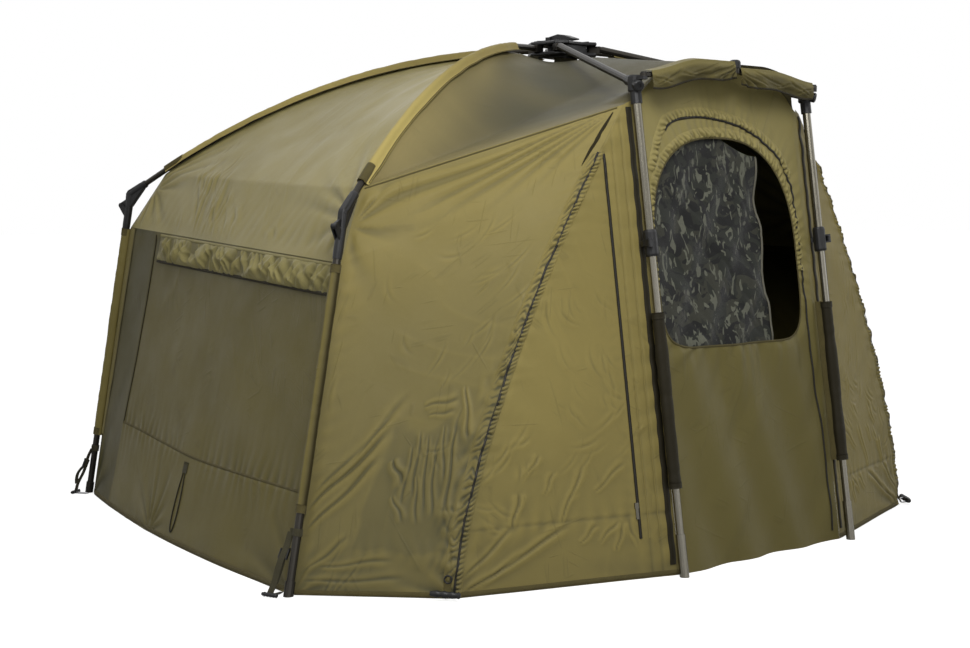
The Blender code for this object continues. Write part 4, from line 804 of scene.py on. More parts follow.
def camo_finish(name):
    # a generic four-tone pattern: layered blots of warped noise, drawn out along the folds
    f = Finish(name, 0.75)
    here = f.warped(9.0, 0.05)
    blots = (
        (here, 10.0, 2.0, 1.1, 0.5, 0.515, linear(50, 50, 41)),
        (f.moved((1.0, 1.0, 1.4), (0.5, 0.3, 1.1), here),
         13.0, 2.5, 1.4, 0.525, 0.54, linear(15, 15, 14)),
        (f.moved((1.9, 0.6, 0.95), (0.0, 0.45, 0.0), here),
         24.0, 2.0, 0.8, 0.585, 0.6, linear(98, 99, 86)),
    )
    base = linear(34, 36, 30)
    for where, scale, detail, warp, low, high, tone in blots:
        share = f.ramp(f.noise(scale, detail, where, 0.5, warp), low, high)
        base = f.mix(share, base, tone)
    f.colour(f.mix(f.spots(0.3, 0.7, 0.25, 160.0), base, linear(14, 15, 12)))
    f.bump(f.noise(30.0, 5.0, roughness=0.6), 0.0015, 0.5)
    f.bump(f.weave(CAMO_THREAD, CAMO_THREAD), 0.00015, 0.6)
    return f.set(Sheen_Weight=0.08, Specular_IOR_Level=0.25)


set_camera()
set_lights()
set_world()
set_floor()
# the olive nylon, with lighter and darker copies of it for the roof, its front, the walls, the door
# and the rib and leg sleeves: painted light and shade for how the light falls on each; each second
# colour is the cloth in painted shade
QUARTER = nylon_finish("nylon_olive", (0.235, 0.19, 0.062), (0.085, 0.078, 0.04))
ROOF = nylon_finish("nylon_roof", (0.312, 0.264, 0.104), (0.13, 0.12, 0.06), 0.42, 0.6, 0.6)
ROOF_FRONT = nylon_finish("nylon_roof_front", (0.26, 0.212, 0.086), (0.066, 0.062, 0.038),
                          0.48, 0.6, 0.6)
WALL = nylon_finish("nylon_wall", (0.128, 0.106, 0.032), (0.045, 0.04, 0.014), 0.52, 0.7)
DOOR = nylon_finish("nylon_door", (0.305, 0.258, 0.098), (0.112, 0.094, 0.03), 0.5, 0.9)
SLEEVE = nylon_finish("nylon_sleeve", (0.4, 0.32, 0.105), (0.06, 0.048, 0.016), 0.5, 1.0, 0.3)
LEG_SLEEVE = nylon_finish("nylon_leg_sleeve", (0.18, 0.148, 0.048), (0.022, 0.018, 0.007),
                          0.5, 1.0, 0.3)
DARK_SLEEVE = nylon_finish("nylon_dark_sleeve", (0.016, 0.013, 0.006), None, 0.62, 1.0, 0.3)
TAPE = webbing_finish("seam_tape", (0.105, 0.086, 0.032))
DARK_TAPE = webbing_finish("seam_dark", (0.026, 0.021, 0.008))
ZIP_TAPE = webbing_finish("zip_tape", (0.022, 0.018, 0.008))
WEBBING = webbing_finish("strap_webbing", (0.06, 0.054, 0.03))
BLACK = moulded_finish("black_moulding", (0.0075, 0.0075, 0.0078), 0.4)
GUNMETAL = metal_finish("gunmetal_tube", (0.032, 0.029, 0.024), 0.4, 0.85)
BRIGHT = metal_finish("bare_tube", (0.2, 0.188, 0.155), 0.22)
SATIN = metal_finish("satin_tube", (0.15, 0.14, 0.112), 0.24)
HEM = webbing_finish("window_hem", (0.19, 0.18, 0.135))
STEEL = metal_finish("steel", (0.42, 0.42, 0.43), 0.3, streak=(9.0, 9.0, 9.0))
CAMO = camo_finish("camouflage_cloth")
ELASTIC = webbing_finish("elastic", (0.03, 0.028, 0.02))


# The cord: an elastic loop that hangs from its tab below the left window, along the CAD
# solid's route
LOOP = [(0.008, 0.0), (0.0085, 0.012), (0.013, 0.035), (0.018, 0.07), (0.02, 0.11), (0.017, 0.15),
        (0.008, 0.176), (-0.004, 0.18), (-0.014, 0.162), (-0.019, 0.125), (-0.018, 0.08),
        (-0.014, 0.04), (-0.009, 0.013), (-0.008, 0.0)]
CORD_RADIUS = 0.002


def wall_frame(u, v, step=0.01):
    here = side_wall(np.array(u, float), np.array(v, float))
    along = unit(side_wall(np.array(u + step), np.array(v)) - here)
    down = unit(side_wall(np.array(u), np.array(v + step)) - here)
    out = unit(np.cross(down, along))
    return here, along, out, np.cross(along, out)


def wall_lifted(us, vs, proud):
    frames = (wall_frame(u, v) for u, v in zip(us, vs))
    return np.array([here + out * proud for here, _, out, _ in frames])


def make_loop():
    here, along, out, up = wall_frame(TAB_U, 1.0 - (TAB_LOW + TAB_HIGH / 2.0) / WALL_HIGH)
    up = up if up[2] > 0 else -up
    left, right = (side_wall(np.array(u), np.array(0.8)) for u in (0.0, 1.0))
    length = np.linalg.norm(right - left)
    sideways, down = smooth_route(LOOP, 76).T
    # it leaves the tab's middle and then lies close along the wall
    middle = here + out * (TAB_THICK / 2.0 + 0.0006)
    at_tab = middle + sideways[:, None] * along - (down + TAB_HIGH / 2.0 + 0.0003)[:, None] * up
    at_wall = wall_lifted(TAB_U + sideways / length, 1.0 - (TAB_LOW - down) / WALL_HIGH, 0.0032)
    hang = rise(np.minimum(1.0, down / (TAB_HIGH * 1.5)))
    spots = at_tab + (at_wall - at_tab) * hang[:, None]
    loop = Piece("elastic_loop", ELASTIC)
    loop.sweep(spots, out, circle(12, CORD_RADIUS)[:, ::-1])
    made = loop.build(stands_for=["cord_loop"])
    # the tab, a folded piece of webbing with two stitched bars
    tab = Piece("loop_tab", WEBBING, TAPE)
    t = np.linspace(-1.0, 1.0, 9)
    for lift in (0.0016, 0.0032):
        edge = [(a * TAB_WIDE / 2.0, lift + (1.0 - a * a) * 0.0004) for a in t]
        back = [(a * TAB_WIDE / 2.0, lift - 0.0014) for a in t[::-1]]
        rows = here + np.linspace(-TAB_HIGH / 2.0, TAB_HIGH / 2.0, 8)[:, None] * up
        tab.sweep(rows, out, edge + back)
    for high in (0.01, 0.0135):
        rows = here + (t * TAB_WIDE * 0.42)[:, None] * along + high * up
        tab.sweep(rows, out, [(-0.0008, 0.0034), (0.0, 0.0046), (0.0008, 0.0034)], 1)
    tab.build(stands_for=["cord_tab"])


make_loop()


# Reliefs: how far a panel's cloth stands off its plain surface, and where it is held down.
# s and t are lengths along and down the panel, wide and long its size there.
TENTHS = 10000.0


def creased(s, t, seed, big, mid, lie):
    # large soft folds at two leans, with patches of sharper creases
    d = big * folds(s, t, lie + 12.0, 0.3, 1.1, seed)
    d = d + big * 0.45 * folds(s, t, lie - 38.0, 0.17, 0.7, seed + 5)
    for lean_by, pitch, length, more in ((30.0, 0.085, 0.6, 11), (-22.0, 0.07, 0.5, 17)):
        patch = rise((noise(s / 0.34 + more, t / 0.34, seed + more + 2) - 0.15) * 2.2)
        d = d + 0.7 * mid * creases(s, t, lie + lean_by, pitch, length, seed + more, 3.0) * patch
    return d


def valley(off, wide, high):
    banks = 0.8 * bell(off - 1.5 * wide, 1.6 * wide) + 0.6 * bell(off + 1.6 * wide, 1.8 * wide)
    return high * (banks - bell(off, 0.75 * wide))


def dents(s, t, seed, *clusters, grow=1.0):
    # short dents where packed cloth has kept its creases; a cluster has its centre, reach,
    # count, lie and height
    rng = np.random.RandomState(seed)
    d = np.zeros_like(s)
    for s0, t0, reach, count, lie, high in clusters:
        for _ in range(count):
            a0, b0 = s0 + rng.normal(0.0, reach * 0.5), t0 + rng.normal(0.0, reach * 0.5)
            turn = math.radians(lie + rng.normal(0.0, 15.0))
            long = grow * rng.uniform(0.016, 0.044)
            wide, tall = grow * rng.uniform(0.0042, 0.0062), high * rng.uniform(0.4, 0.9)
            x = (s - a0) * math.cos(turn) + (t - b0) * math.sin(turn)
            y = (t - b0) * math.cos(turn) - (s - a0) * math.sin(turn) + 0.16 * x * x / long
            d += bell(x, long) * valley(y, wide, tall)
    return d


def fold_lines(a, b, lines):
    # long folds between two places; each row has its ends, width and height
    d = np.zeros_like(a)
    for a0, b0, a1, b1, wide, high in np.array(lines) / TENTHS:
        run = np.array([a1 - a0, b1 - b0])
        long = float(np.hypot(*run))
        k = ((a - a0) * run[0] + (b - b0) * run[1]) / long ** 2
        off = ((a - a0) * run[1] - (b - b0) * run[0]) / long
        off = off + 0.5 * wide * np.sin(k * 8.0 + a0 * 40.0)
        end = rise(k * 8.0 + 0.2) * rise((1.0 - k) * 4.0 + 0.1)
        d += valley(off / (0.6 + 0.7 * np.clip(k, 0.0, 1.0)), wide, high) * end
    return d


def rays(a, b, count, reach, seed):
    # tension folds that spread from a point that pulls the cloth, a and b away from it
    r = np.hypot(a, b)
    turn = np.arctan2(b, a)
    phase = turn * count + 2.0 * noise(turn * 3.0 + 9.0, r / 0.25, seed)
    return np.sin(phase) * np.exp(-r / reach) * rise(r / 0.06)


def roof_drape(cloth):
    # packing creases, and folds that hang from the hub
    u, _, s, t = cloth.places[:4]
    hung = np.sin(2 * math.pi * (u * 5.0 + 0.5 * noise(u * 4.0, t / 0.3, cloth.seed + 41)))
    return creased(s, t, cloth.seed, 0.003, 0.0014, 80.0) + 0.004 * np.exp(-t / 0.55) * hung


def roof_rear_relief(cloth):
    u, _, _, t, wide, long = cloth.places
    edge = np.minimum(u, 1.0 - u) * wide
    d = roof_drape(cloth) + 0.005 * rays(edge, t - long * 0.9, 15.0, 0.25, cloth.seed + 4)
    d += 0.0022 * puckers(t, edge, 0.055, 0.035, cloth.seed + 8)
    return d, seam_mask(cloth.places, 0.045)


def roof_side_relief(cloth):
    u, v, _, t, wide, long = cloth.places
    seed, high = cloth.seed, float(long.mean())
    d = roof_drape(cloth) + 0.005 * rays(u * wide, t - long * 0.9, 15.0, 0.22, seed + 2)
    d += 0.005 * rays((1 - u) * wide, t - long * 0.9, 15.0, 0.22, seed + 3)
    d += 0.0014 * puckers(u * wide, (1.0 - v) * long, 0.06, 0.06, seed + 6)
    d += 0.0014 * puckers(t, np.minimum(u, 1.0 - u) * wide, 0.055, 0.035, seed + 7)
    d += dents(u * wide, high - t, seed + 9, (0.42, 0.12, 0.13, 16, -38.0, 0.0042),
               (0.62, 0.11, 0.12, 14, -44.0, 0.0042), (0.82, 0.09, 0.12, 12, -40.0, 0.0036),
               (1.1, 0.07, 0.14, 8, -30.0, 0.0026), (0.25, 0.16, 0.08, 5, -35.0, 0.003), grow=1.9)
    return d, seam_mask(cloth.places, 0.045)


def roof_front_relief(cloth):
    u, v, s, t, _, long = cloth.places
    inner = 1.0 - np.abs(2.0 * u - 1.0)
    d = 0.25 * roof_drape(cloth) + 0.001 * folds(s, t, 70.0, 0.11, 0.6, cloth.seed + 52) * inner
    d += 0.0012 * puckers(s, (1.0 - v) * long, 0.045, 0.05, cloth.seed + 9)
    return d, seam_mask(cloth.places, 0.045)


def ridge_run(v):
    rows = np.linspace(0.0, 1.0, 200)
    return np.interp(v, rows, running(ridge(rows)))


def ridge_push(cloth, across, hand):
    # the zip along the ridge gathers the cloth of both panels alike
    run = ridge_run(cloth.places[1])
    env = rise(run / 0.1) * rise((1.62 - run) / 0.25) * (0.55 + 0.45 * np.sin(run * 4.1 + 0.7) ** 2)
    tight = puckers(run, across, 0.046, 0.034, 61) * 0.003
    loose = puckers(run + hand * across, across, 0.105, 0.11, 67) * 0.006
    fade = rise((1.0 - across / cloth.wide) * 4.0)
    return ((tight + loose) * env * fade)[..., None] * unit(np.array([-0.55, -0.8, 0.1]))


def quarter_push(cloth):
    return ridge_push(cloth, (1.0 - cloth.places[0]) * cloth.wide, 0.35)


def wing_push(cloth):
    return ridge_push(cloth, cloth.places[0] * cloth.wide, -0.25)


# long folds from the left edge and up from the ground, in tenths of a millimetre
QUARTER_FOLDS = (
    (0, 2200, 2150, 4600, 85, 52), (100, 1700, 1900, 3800, 75, 46),
    (200, 2700, 2600, 5600, 90, 32), (2250, 3700, 2650, 3000, 80, 48),
    (2820, 4100, 2620, 2400, 46, 26), (3000, 4500, 2920, 2600, 50, 30),
    (3220, 4400, 3260, 2200, 44, 30), (3450, 3800, 3520, 2100, 48, 32),
    (3660, 4700, 3780, 3000, 44, 26), (4020, 4600, 3840, 2000, 54, 40),
    (3000, 3300, 3100, 1900, 44, 26), (2350, 2700, 2750, 2000, 50, 30),
    (3000, 5200, 4050, 5450, 60, 40), (3150, 4950, 3950, 5120, 50, 28),
    (600, 3000, 2250, 5100, 44, 20), (4200, 5800, 4400, 4200, 50, 40),
    (200, 350, 3000, 500, 60, 26), (600, 750, 2600, 1000, 55, 26),
    (4350, 400, 4000, 1600, 60, 36), (200, 600, 1300, 1600, 60, 32))
WING_FOLDS = (
    (210, 500, 1500, 1760, 62, 46), (300, 120, 3300, 1700, 66, 58),
    (1470, 1720, 1490, 2700, 60, 56), (1530, 3100, 1820, 3680, 52, 38),
    (2950, 1750, 3300, 3300, 56, 40), (2250, 2550, 2400, 3200, 50, 32),
    (3850, 2500, 4650, 3300, 56, 34), (3660, 1120, 4140, 1640, 52, 34),
    (4250, 1100, 4820, 1680, 52, 34), (4860, 800, 4970, 1620, 52, 34),
    (5560, 900, 5080, 1720, 52, 34), (600, 200, 2000, 1100, 54, 30))
BRIM_FOLDS = (
    (3850, 40, 2500, 460, 46, 40), (3880, 160, 3000, 500, 40, 36), (3200, 40, 1700, 400, 40, 30),
    (400, 400, 1500, 100, 42, 34), (300, 120, 1100, 440, 40, 30), (2100, 460, 1300, 180, 36, 26))
# folds under the eave: their lie in degrees, width in degrees, height and reach
EAVE_FOLDS = ((5.0, 1.4, 0.006, 0.85), (11.0, 1.8, 0.0055, 0.7), (19.0, 2.2, 0.005, 0.6),
              (29.0, 2.6, 0.004, 0.45), (42.0, 3.4, 0.0035, 0.36))


def quarter_relief(cloth):
    u, _, s, t, wide, long = cloth.places
    seed, high = cloth.seed, float(long.mean())
    from_left, from_right, up = u * wide, (1.0 - u) * wide, long - t
    d = creased(s, t, seed, 0.0034, 0.0008, 62.0)
    d = d + 0.004 * rays(from_left, t - 0.12, 9.0, 0.26, seed + 2)
    d += 0.0022 * rays(from_left, up, 13.0, 0.14, seed + 3)
    d += 0.0024 * rays(from_right, up, 11.0, 0.16, seed + 4)
    d += 0.0016 * puckers(t, from_left, 0.05, 0.03, seed + 5)
    # long folds under the eave that fan out from the front corner
    away, turn = np.hypot(from_right, t), np.degrees(np.arctan2(t, from_right + 1e-6))
    for lie, spread_by, tall, reach in EAVE_FOLDS:
        off = turn - (lie + 1.6 * np.sin(away * 9.0 + lie))
        end = rise(away / 0.1) * rise((reach - away) / 0.25)
        d += tall * (bell(off, spread_by) - 0.5 * bell(off - 2.0 * spread_by, spread_by)) * end
    d += fold_lines(from_left, up, QUARTER_FOLDS)
    d += dents(from_left, t, seed + 8, (0.56, 0.44, 0.16, 7, -24.0, 0.0022),
               (0.3, 0.24, 0.18, 5, -18.0, 0.002), (0.6, 0.62, 0.1, 7, -55.0, 0.0024),
               (0.36, high - 0.33, 0.09, 8, 82.0, 0.0026),
               (0.08, high - 0.09, 0.07, 12, -50.0, 0.0028),
               (0.4, high - 0.1, 0.06, 9, 75.0, 0.0028), (0.1, 0.6, 0.16, 3, 75.0, 0.0018),
               (0.42, high - 0.58, 0.1, 6, -60.0, 0.0022))
    # crumpled cloth low down beside the ridge, and the seam over the hem
    beside = bell(from_right, 0.07) * rise((up - 0.02) / 0.08) * rise((0.78 - up) / 0.3)
    d += 0.006 * beside * noise((from_left + 0.25 * t) / 0.04, (t - 0.5 * u * wide) / 0.058,
                                seed + 41)
    d += 0.003 * beside * noise(from_left / 0.018, (t + 0.3 * u * wide) / 0.03, seed + 42)
    d += 0.0008 * puckers(s, np.abs(t - (long - 0.115)), 0.04, 0.03, seed + 6)
    return d, seam_mask(cloth.places, 0.035, "tl") * rise((1.0 - u) * 14.0)


def wing_relief(cloth):
    u, v, s, t, wide, long = cloth.places
    seed, high = cloth.seed, float(long.mean())
    from_left, right, up = u * wide, wide - u * wide, long - t
    zip_u = np.clip((wide - ZIP_AWAY) / wide, 0.0, 1.0)
    away = np.abs(u - zip_u) * wide
    d = creased(s, t, seed, 0.003, 0.0008, 68.0) + 0.0012 * puckers(t, away, 0.034, 0.022, seed + 2)
    for place in FLAP_SEAMS:
        d -= 0.0016 * bell(right - place, 0.0045)
    d += 0.003 * puckers(t, right, 0.075, 0.05, seed + 7)
    d += dents(from_left, t, seed + 8, (0.14, 0.62, 0.12, 8, 50.0, 0.0022),
               (0.26, 0.84, 0.14, 11, 45.0, 0.0026), (0.12, high - 0.3, 0.08, 8, -70.0, 0.0028),
               (0.38, high - 0.42, 0.13, 10, -52.0, 0.0026),
               (0.3, high - 0.62, 0.12, 8, 40.0, 0.0024),
               (0.08, high - 0.16, 0.05, 6, 5.0, 0.0024))
    # the seam over the hem, tension at the foot, and cloth held flat along the zip
    band = np.abs(t - (long - 0.177))
    d += 0.0012 * puckers(s, band, 0.045, 0.03, seed + 3) - 0.0016 * bell(band, 0.005)
    d += 0.0022 * rays(from_left, up, 11.0, 0.2, seed + 4)
    d += fold_lines(from_left, up, WING_FOLDS)
    d *= 1.0 - 0.85 * bell(away, 0.02)
    return d, seam_mask(cloth.places, 0.03, "r") * rise(u * 14.0) * rise((1.0 - v) * 40.0 + 0.6)


def window_low(u):
    # the height share of the seam below the side window
    high = WALL_TOP["rear"] + (WALL_TOP["side"] - WALL_TOP["rear"]) * u
    return 1.0 - (PANE_FOOT - PANE_FALL * rise((u - 0.15) / 0.5)) / high


def side_wall_relief(cloth):
    u, v, s, t, wide, long = cloth.places
    seed, high = cloth.seed, float(long.mean())
    up, seam = long - t, window_low(u) * long
    inside = (u > PANE_REAR) & (u < 0.985)
    d = creased(s, t, seed, 0.005, 0.0016, 70.0)
    d += 0.003 * puckers(s, np.abs(t - seam), 0.05, 0.045, seed + 3) * inside
    # the window lies a little deeper than the wall around it
    d -= 0.0026 * rise((seam - t) / 0.004 + 0.5) * rise((u - PANE_REAR) * wide / 0.004 + 0.5)
    d += 0.0045 * rays(u * wide, up, 11.0, 0.2, seed + 4)
    d += 0.0045 * rays((1.0 - u) * wide, up, 11.0, 0.2, seed + 5)
    d += 0.0045 * rays((u - 0.44) * wide, up, 14.0, 0.14, seed + 6)
    d += dents(u * wide, t, seed + 8, (0.95, 0.48, 0.16, 9, -35.0, 0.0018),
               (0.62, 0.22, 0.12, 5, 40.0, 0.0014), (0.5, high - 0.26, 0.1, 12, 60.0, 0.0026),
               (1.05, high - 0.24, 0.12, 8, 20.0, 0.0018))
    if cloth.side < 0:
        # flat behind the cord's tab
        d *= 1.0 - rise(1.6 - np.hypot((u - TAB_U) / 0.05, (v - 0.85) / 0.22))
    return d, seam_mask(cloth.places, 0.035, "tlr")


def rear_relief(cloth):
    u, _, s, t, wide, long = cloth.places
    edge = np.minimum(u, 1 - u) * wide
    d = creased(s, t, cloth.seed, 0.0055, 0.0016, 75.0)
    d += 0.0055 * rays(edge, t, 13.0, 0.25, cloth.seed + 2)
    d += 0.0045 * rays(edge, long - t, 11.0, 0.2, cloth.seed + 4)
    return d, seam_mask(cloth.places, 0.035, "tlr")


# How dark the cloth is painted, from 0 to 1: painted shade, and darker blots along the foot
def hem_shade(cloth):
    # darker in blots over the lowest tenth of a metre, most at the foot
    _, v, s, t, _, long = cloth.places
    blots = 0.5 + 0.5 * noise(s / 0.12, t / 0.05, 5)
    return 0.35 * rise((v * long - long + 0.1) / 0.1) * blots


def wall_shade(cloth):
    # the strip beside the rear leg lies in shade, and so does the cloth right under the cover
    u, _, _, t = cloth.places[:4]
    strip_shade = 0.75 * (1.0 - rise((u - 0.15) / 0.012))
    shade = np.maximum(strip_shade, 0.45 * np.exp(-t / 0.16))
    return np.clip(shade + hem_shade(cloth), 0.0, 1.0)


def quarter_shade(cloth):
    # painted shade: darker low down, where less light reaches, with a darker, greener patch beside
    # the ridge that has a ragged edge
    u, v, s, t, wide, long = cloth.places
    up = long - t
    ragged = 0.014 * noise(s / 0.07, t / 0.09, 71) + 0.006 * noise(s / 0.02, t / 0.03, 72)
    patch = rise((u * wide - 0.1 - 0.24 * up + ragged) / 0.016)
    patch = patch * rise((up - 0.115 + ragged) / 0.016) * rise((0.475 - up + 2.0 * ragged) / 0.03)
    fall = 0.4 * rise(v / 0.5) + 0.18 * rise((v - 0.7) / 0.3)
    shade = fall * (1.0 - 0.25 * patch) + 0.32 * patch + 0.6 * hem_shade(cloth)
    return np.clip(shade, 0.0, 0.95)


def edge_shade(cloth):
    # painted shade along the panel's sides beside the ribs and near the hub
    u, _, _, t, wide, _ = cloth.places
    edge = np.minimum(u, 1.0 - u) * wide
    return np.clip(0.35 * np.exp(-edge / 0.02) + 0.25 * np.exp(-t / 0.1), 0.0, 1.0)


def front_shade(cloth):
    # painted shade: darkest beside the hub and over the door, lighter at the side ribs' lower ends
    u, v = cloth.places[:2]
    inner = 1.0 - np.abs(2.0 * u - 1.0)
    return np.clip(1.0 - 0.85 * bell(np.hypot(inner * 0.95, (v - 0.55) * 0.8), 0.34), 0.0, 0.95)


def zip_shade(cloth):
    # painted shade: darker beside the ridge and low down, with the blots along the foot
    u, v = cloth.places[:2]
    shade = 0.2 * np.exp(-u * 8.0) + 0.22 * rise((v - 0.55) / 0.45)
    return np.clip(shade + hem_shade(cloth), 0.0, 1.0)


def door_shade(z):
    # painted light and shade: lighter under the brim, darkest from the knee down
    return 0.24 * (1.0 - rise((z - 1.34) / 0.12)) + 0.71 * (1.0 - rise((z - 0.55) / 0.45))


PANELS = {}


def make_panel(name, node, label, places, relief, look, rests):
    # places: surface, rows of u and v, and side; relief: its function, seed and push;
    # look: finish, shade and how the cloth is held, which is not used
    made = PANELS[name + label] = Cloth(*places, *relief)
    made.piece(name + "_cloth" + label, look[0], [node + label], *look[1:], rests)


front_v = np.concatenate([spread(0.045) * HUB_ROW, HUB_ROW + (1.0 - HUB_ROW) * spread(0.74)[1:]])
make_panel("roof_rear", "roof_rear_panel", "", (roof_rear, spread(1.62), spread(1.62), -1),
           (roof_rear_relief, 110), (ROOF, edge_shade, "stretched"),
           ["rib_rear_left", "rib_rear_right"])
make_panel("roof_front", "roof_front_panel", "", (roof_front, spread(2.04), front_v, -1),
           (roof_front_relief, 130), (ROOF_FRONT, front_shade, "stretched"),
           ["rib_side_left", "rib_side_right", "brim_bar_left", "brim_bar_right"])
make_panel("rear_wall", "rear_wall", "", (rear_wall, spread(1.64), spread(0.97), -1),
           (rear_relief, 150), (WALL, hem_shade, "hung"), ["leg_rear_left", "leg_rear_right"])
for side, label in NAMES.items():
    for name, node, surface, wide, high, pitch, relief, seed, push, look, rests in (
        ("roof_side", "roof_side_panel", roof_side, 1.66, 1.62, 0.0064, roof_side_relief, 1, None,
         (ROOF, edge_shade, "stretched"), "rib_side_"),
        ("side_wall", "side_wall", side_wall, 1.96, 0.97, 0.009, side_wall_relief, 20, None,
         (WALL, wall_shade, "hung"), "leg_side_"),
        ("quarter", "quarter_panel", quarter, 0.92, 1.42, 0.0046, quarter_relief, 40, quarter_push,
         (QUARTER, quarter_shade, "stretched"), "leg_side_"),
        ("wing", "wing_panel", wing, 0.69, 1.42, 0.0046, wing_relief, 60, wing_push,
         (QUARTER, zip_shade, "stretched"), "leg_side_"),
    ):
        places = (surface, spread(wide, pitch), spread(high, pitch), side)
        make_panel(name, node, "_" + label, places, (relief, 200 + 100 * side + seed, push), look,
                   [rests + label])


# Door with its arched window, and the camouflage panel behind it
def roof_under(x):
    # the height of the roof's front panel just over the door, x away from the middle
    low, high = 0.8, 1.0
    us = np.linspace(0.0, 0.5, 200)
    for _ in range(13):
        v = (low + high) / 2.0
        row = roof_front(us, np.full_like(us, v))
        k = np.argsort(row[:, 0])
        spot = np.array([np.interp(-abs(x), row[k, 0], row[k, n]) for n in range(3)])
        if spot[1] > lean(spot[2]) + DOOR_BACK:
            low = v
        else:
            high = v
    return spot[2] - 0.003


DOOR_X = np.linspace(0.0, DOOR_HALF, 40)
DOOR_TOP = np.array([roof_under(x) for x in DOOR_X])


def door_top(x):
    return np.interp(np.abs(x), DOOR_X, DOOR_TOP)


def arch(turn):
    # how far the window's edge lies from its middle
    upper = np.sin(turn) >= 0.0
    tall = np.where(upper, WINDOW_RISE, WINDOW_FALL)
    power = np.where(upper, 2.5, 7.0)
    wide = (np.abs(np.cos(turn)) / WINDOW_HALF) ** power
    return (wide + (np.abs(np.sin(turn)) / tall) ** power) ** (-1.0 / power)


def around_window(turn, grow=0.0):
    reach = arch(turn) + grow
    return WINDOW_X + reach * np.cos(turn), WINDOW_Z + reach * np.sin(turn)


def door_base(x, z):
    wave = np.sin(2.0 * math.pi * (x + 0.35 * z) / 0.24)
    low = 1.0 - rise((z - WINDOW_Z + WINDOW_FALL * 1.2) / WINDOW_FALL)
    edge = np.clip(1.0 - (np.abs(x) / DOOR_HALF) ** 4, 0.0, None)
    return lean(z) + DOOR_BACK + 0.009 * wave * np.clip(low, 0.0, None) * edge


def door_at(x, z, lift=0.0):
    # lift is forward, out of the door
    x, z = np.asarray(x, float), np.asarray(z, float)
    turn = np.arctan2(z - WINDOW_Z, x - WINDOW_X)
    beyond = np.clip(np.hypot(z - WINDOW_Z, x - WINDOW_X) - arch(turn), 0.0, None)
    round_it = turn * 0.36
    sides = rise((DOOR_HALF - np.abs(x)) / 0.03) * rise((door_top(x) - z) / 0.03)
    upper = rise((z - 0.62) / 0.3)
    clear = rise(beyond / 0.03)
    gather = puckers(round_it, beyond, 0.03, 0.06, 301) * 0.0055 * rise(beyond / 0.008) * upper
    slack = puckers(round_it + 0.2 * beyond, beyond, 0.085, 0.12, 303) * 0.0045
    slack = slack * rise(beyond / 0.02)
    sill = puckers(x, beyond, 0.05, 0.09, 305) * 0.004 * (1.0 - upper) * rise(beyond / 0.006)
    plain = creased(x, z, 307, 0.0032, 0.0013, 60.0) * clear
    cross = 0.004 * folds(x, z, 52.0, 0.055, 0.3, 311) * (1.0 - upper) * clear
    relief = (gather + slack + sill + plain + cross) * sides + PROUD * sides
    return xyz(x, door_base(x, z) - relief - lift, z)


def make_door_cloth():
    # rays from the door's rim to the window's edge
    half = DOOR_HALF - 0.0003
    a = np.linspace(-half, half, 110, endpoint=False)
    top = float(door_top(half))
    b = np.linspace(0.0, top, 190, endpoint=False)
    rim = np.array([(x, 0.0) for x in a] + [(half, z) for z in b]
                   + [(-x, float(door_top(x))) for x in a] + [(-half, top - z) for z in b])
    turn = np.arctan2(rim[:, 1] - WINDOW_Z, rim[:, 0] - WINDOW_X)
    inner = np.stack(around_window(turn), axis=-1)
    share = np.linspace(0.0, 1.0, 46)[:, None, None]
    spots = rim[None] + (inner - rim)[None] * share
    p = door_at(spots[..., 0], spots[..., 1])
    made = Piece("door_cloth", DOOR)
    made.grid(p, FORWARD, door_shade(spots[..., 1]), spots, closed=True)
    door = made.build(stands_for=["door_panel"])


# the door's zip runs round the arch and down to the ground on its right side
ARCH_ZIP = [(-0.262, 1.252), (-0.236, 1.272), (-0.18, 1.288), (-0.076, 1.295), (0.054, 1.281),
            (0.151, 1.252), (0.247, 1.195), (0.3, 1.12)]
DOOR_ZIP = ARCH_ZIP + [(0.322, 1.0), (0.33, 0.625), (0.345, 0.3), (0.35, 0.03)]


def door_route(points, steps):
    return smooth_route([(x, 0.0, z) for x, z in points], steps)[:, [0, 2]]


def door_ruffles(name, edge, x, z, across, pitches, height, seed):
    spot = door_at(x, z)
    ruffles(name, DOOR, spot, np.broadcast_to(FORWARD, spot.shape), running(edge), across,
            pitches, height, seed)


def make_door():
    make_door_cloth()
    x, z = around_window(np.linspace(-math.pi, math.pi, 260))
    binding = crown(0.0032, 0.0026, 0.0006, 0.0018, 0.0024) + [(0.0, -0.001)]
    strip("window_binding", TAPE, door_at(x, z, 0.0002), FORWARD, binding)
    x, z = door_route(DOOR_ZIP, 300).T
    make_zip("door_zip", door_at(x, z, 0.0014), FORWARD, 0.0042)
    # gathered bands along the window's edge, and over the zip
    turn = np.linspace(1.1 * math.pi, -0.06 * math.pi, 900)
    edge = np.stack(around_window(turn), axis=-1)
    across = np.linspace(0.0, 0.034, 14)
    x, z = around_window(turn[:, None], across)
    door_ruffles("window_ruffle", edge, x, z, across, (0.0175, 0.015), 0.0042, 821)
    arc = door_route([(-0.33, 1.13)] + ARCH_ZIP, 900)
    way = unit(np.gradient(arc, axis=0))
    normal = np.stack([-way[:, 1], way[:, 0]], axis=-1)
    across = np.linspace(0.0, 0.032, 13)
    spots = arc[:, None] + normal[:, None] * across[None, :, None]
    x = np.clip(spots[..., 0], -DOOR_HALF + 0.004, DOOR_HALF - 0.004)
    z = np.minimum(spots[..., 1], door_top(x) - 0.004)
    door_ruffles("arch_ruffle", arc, x, z, across, (0.019, 0.017), 0.0046, 823)


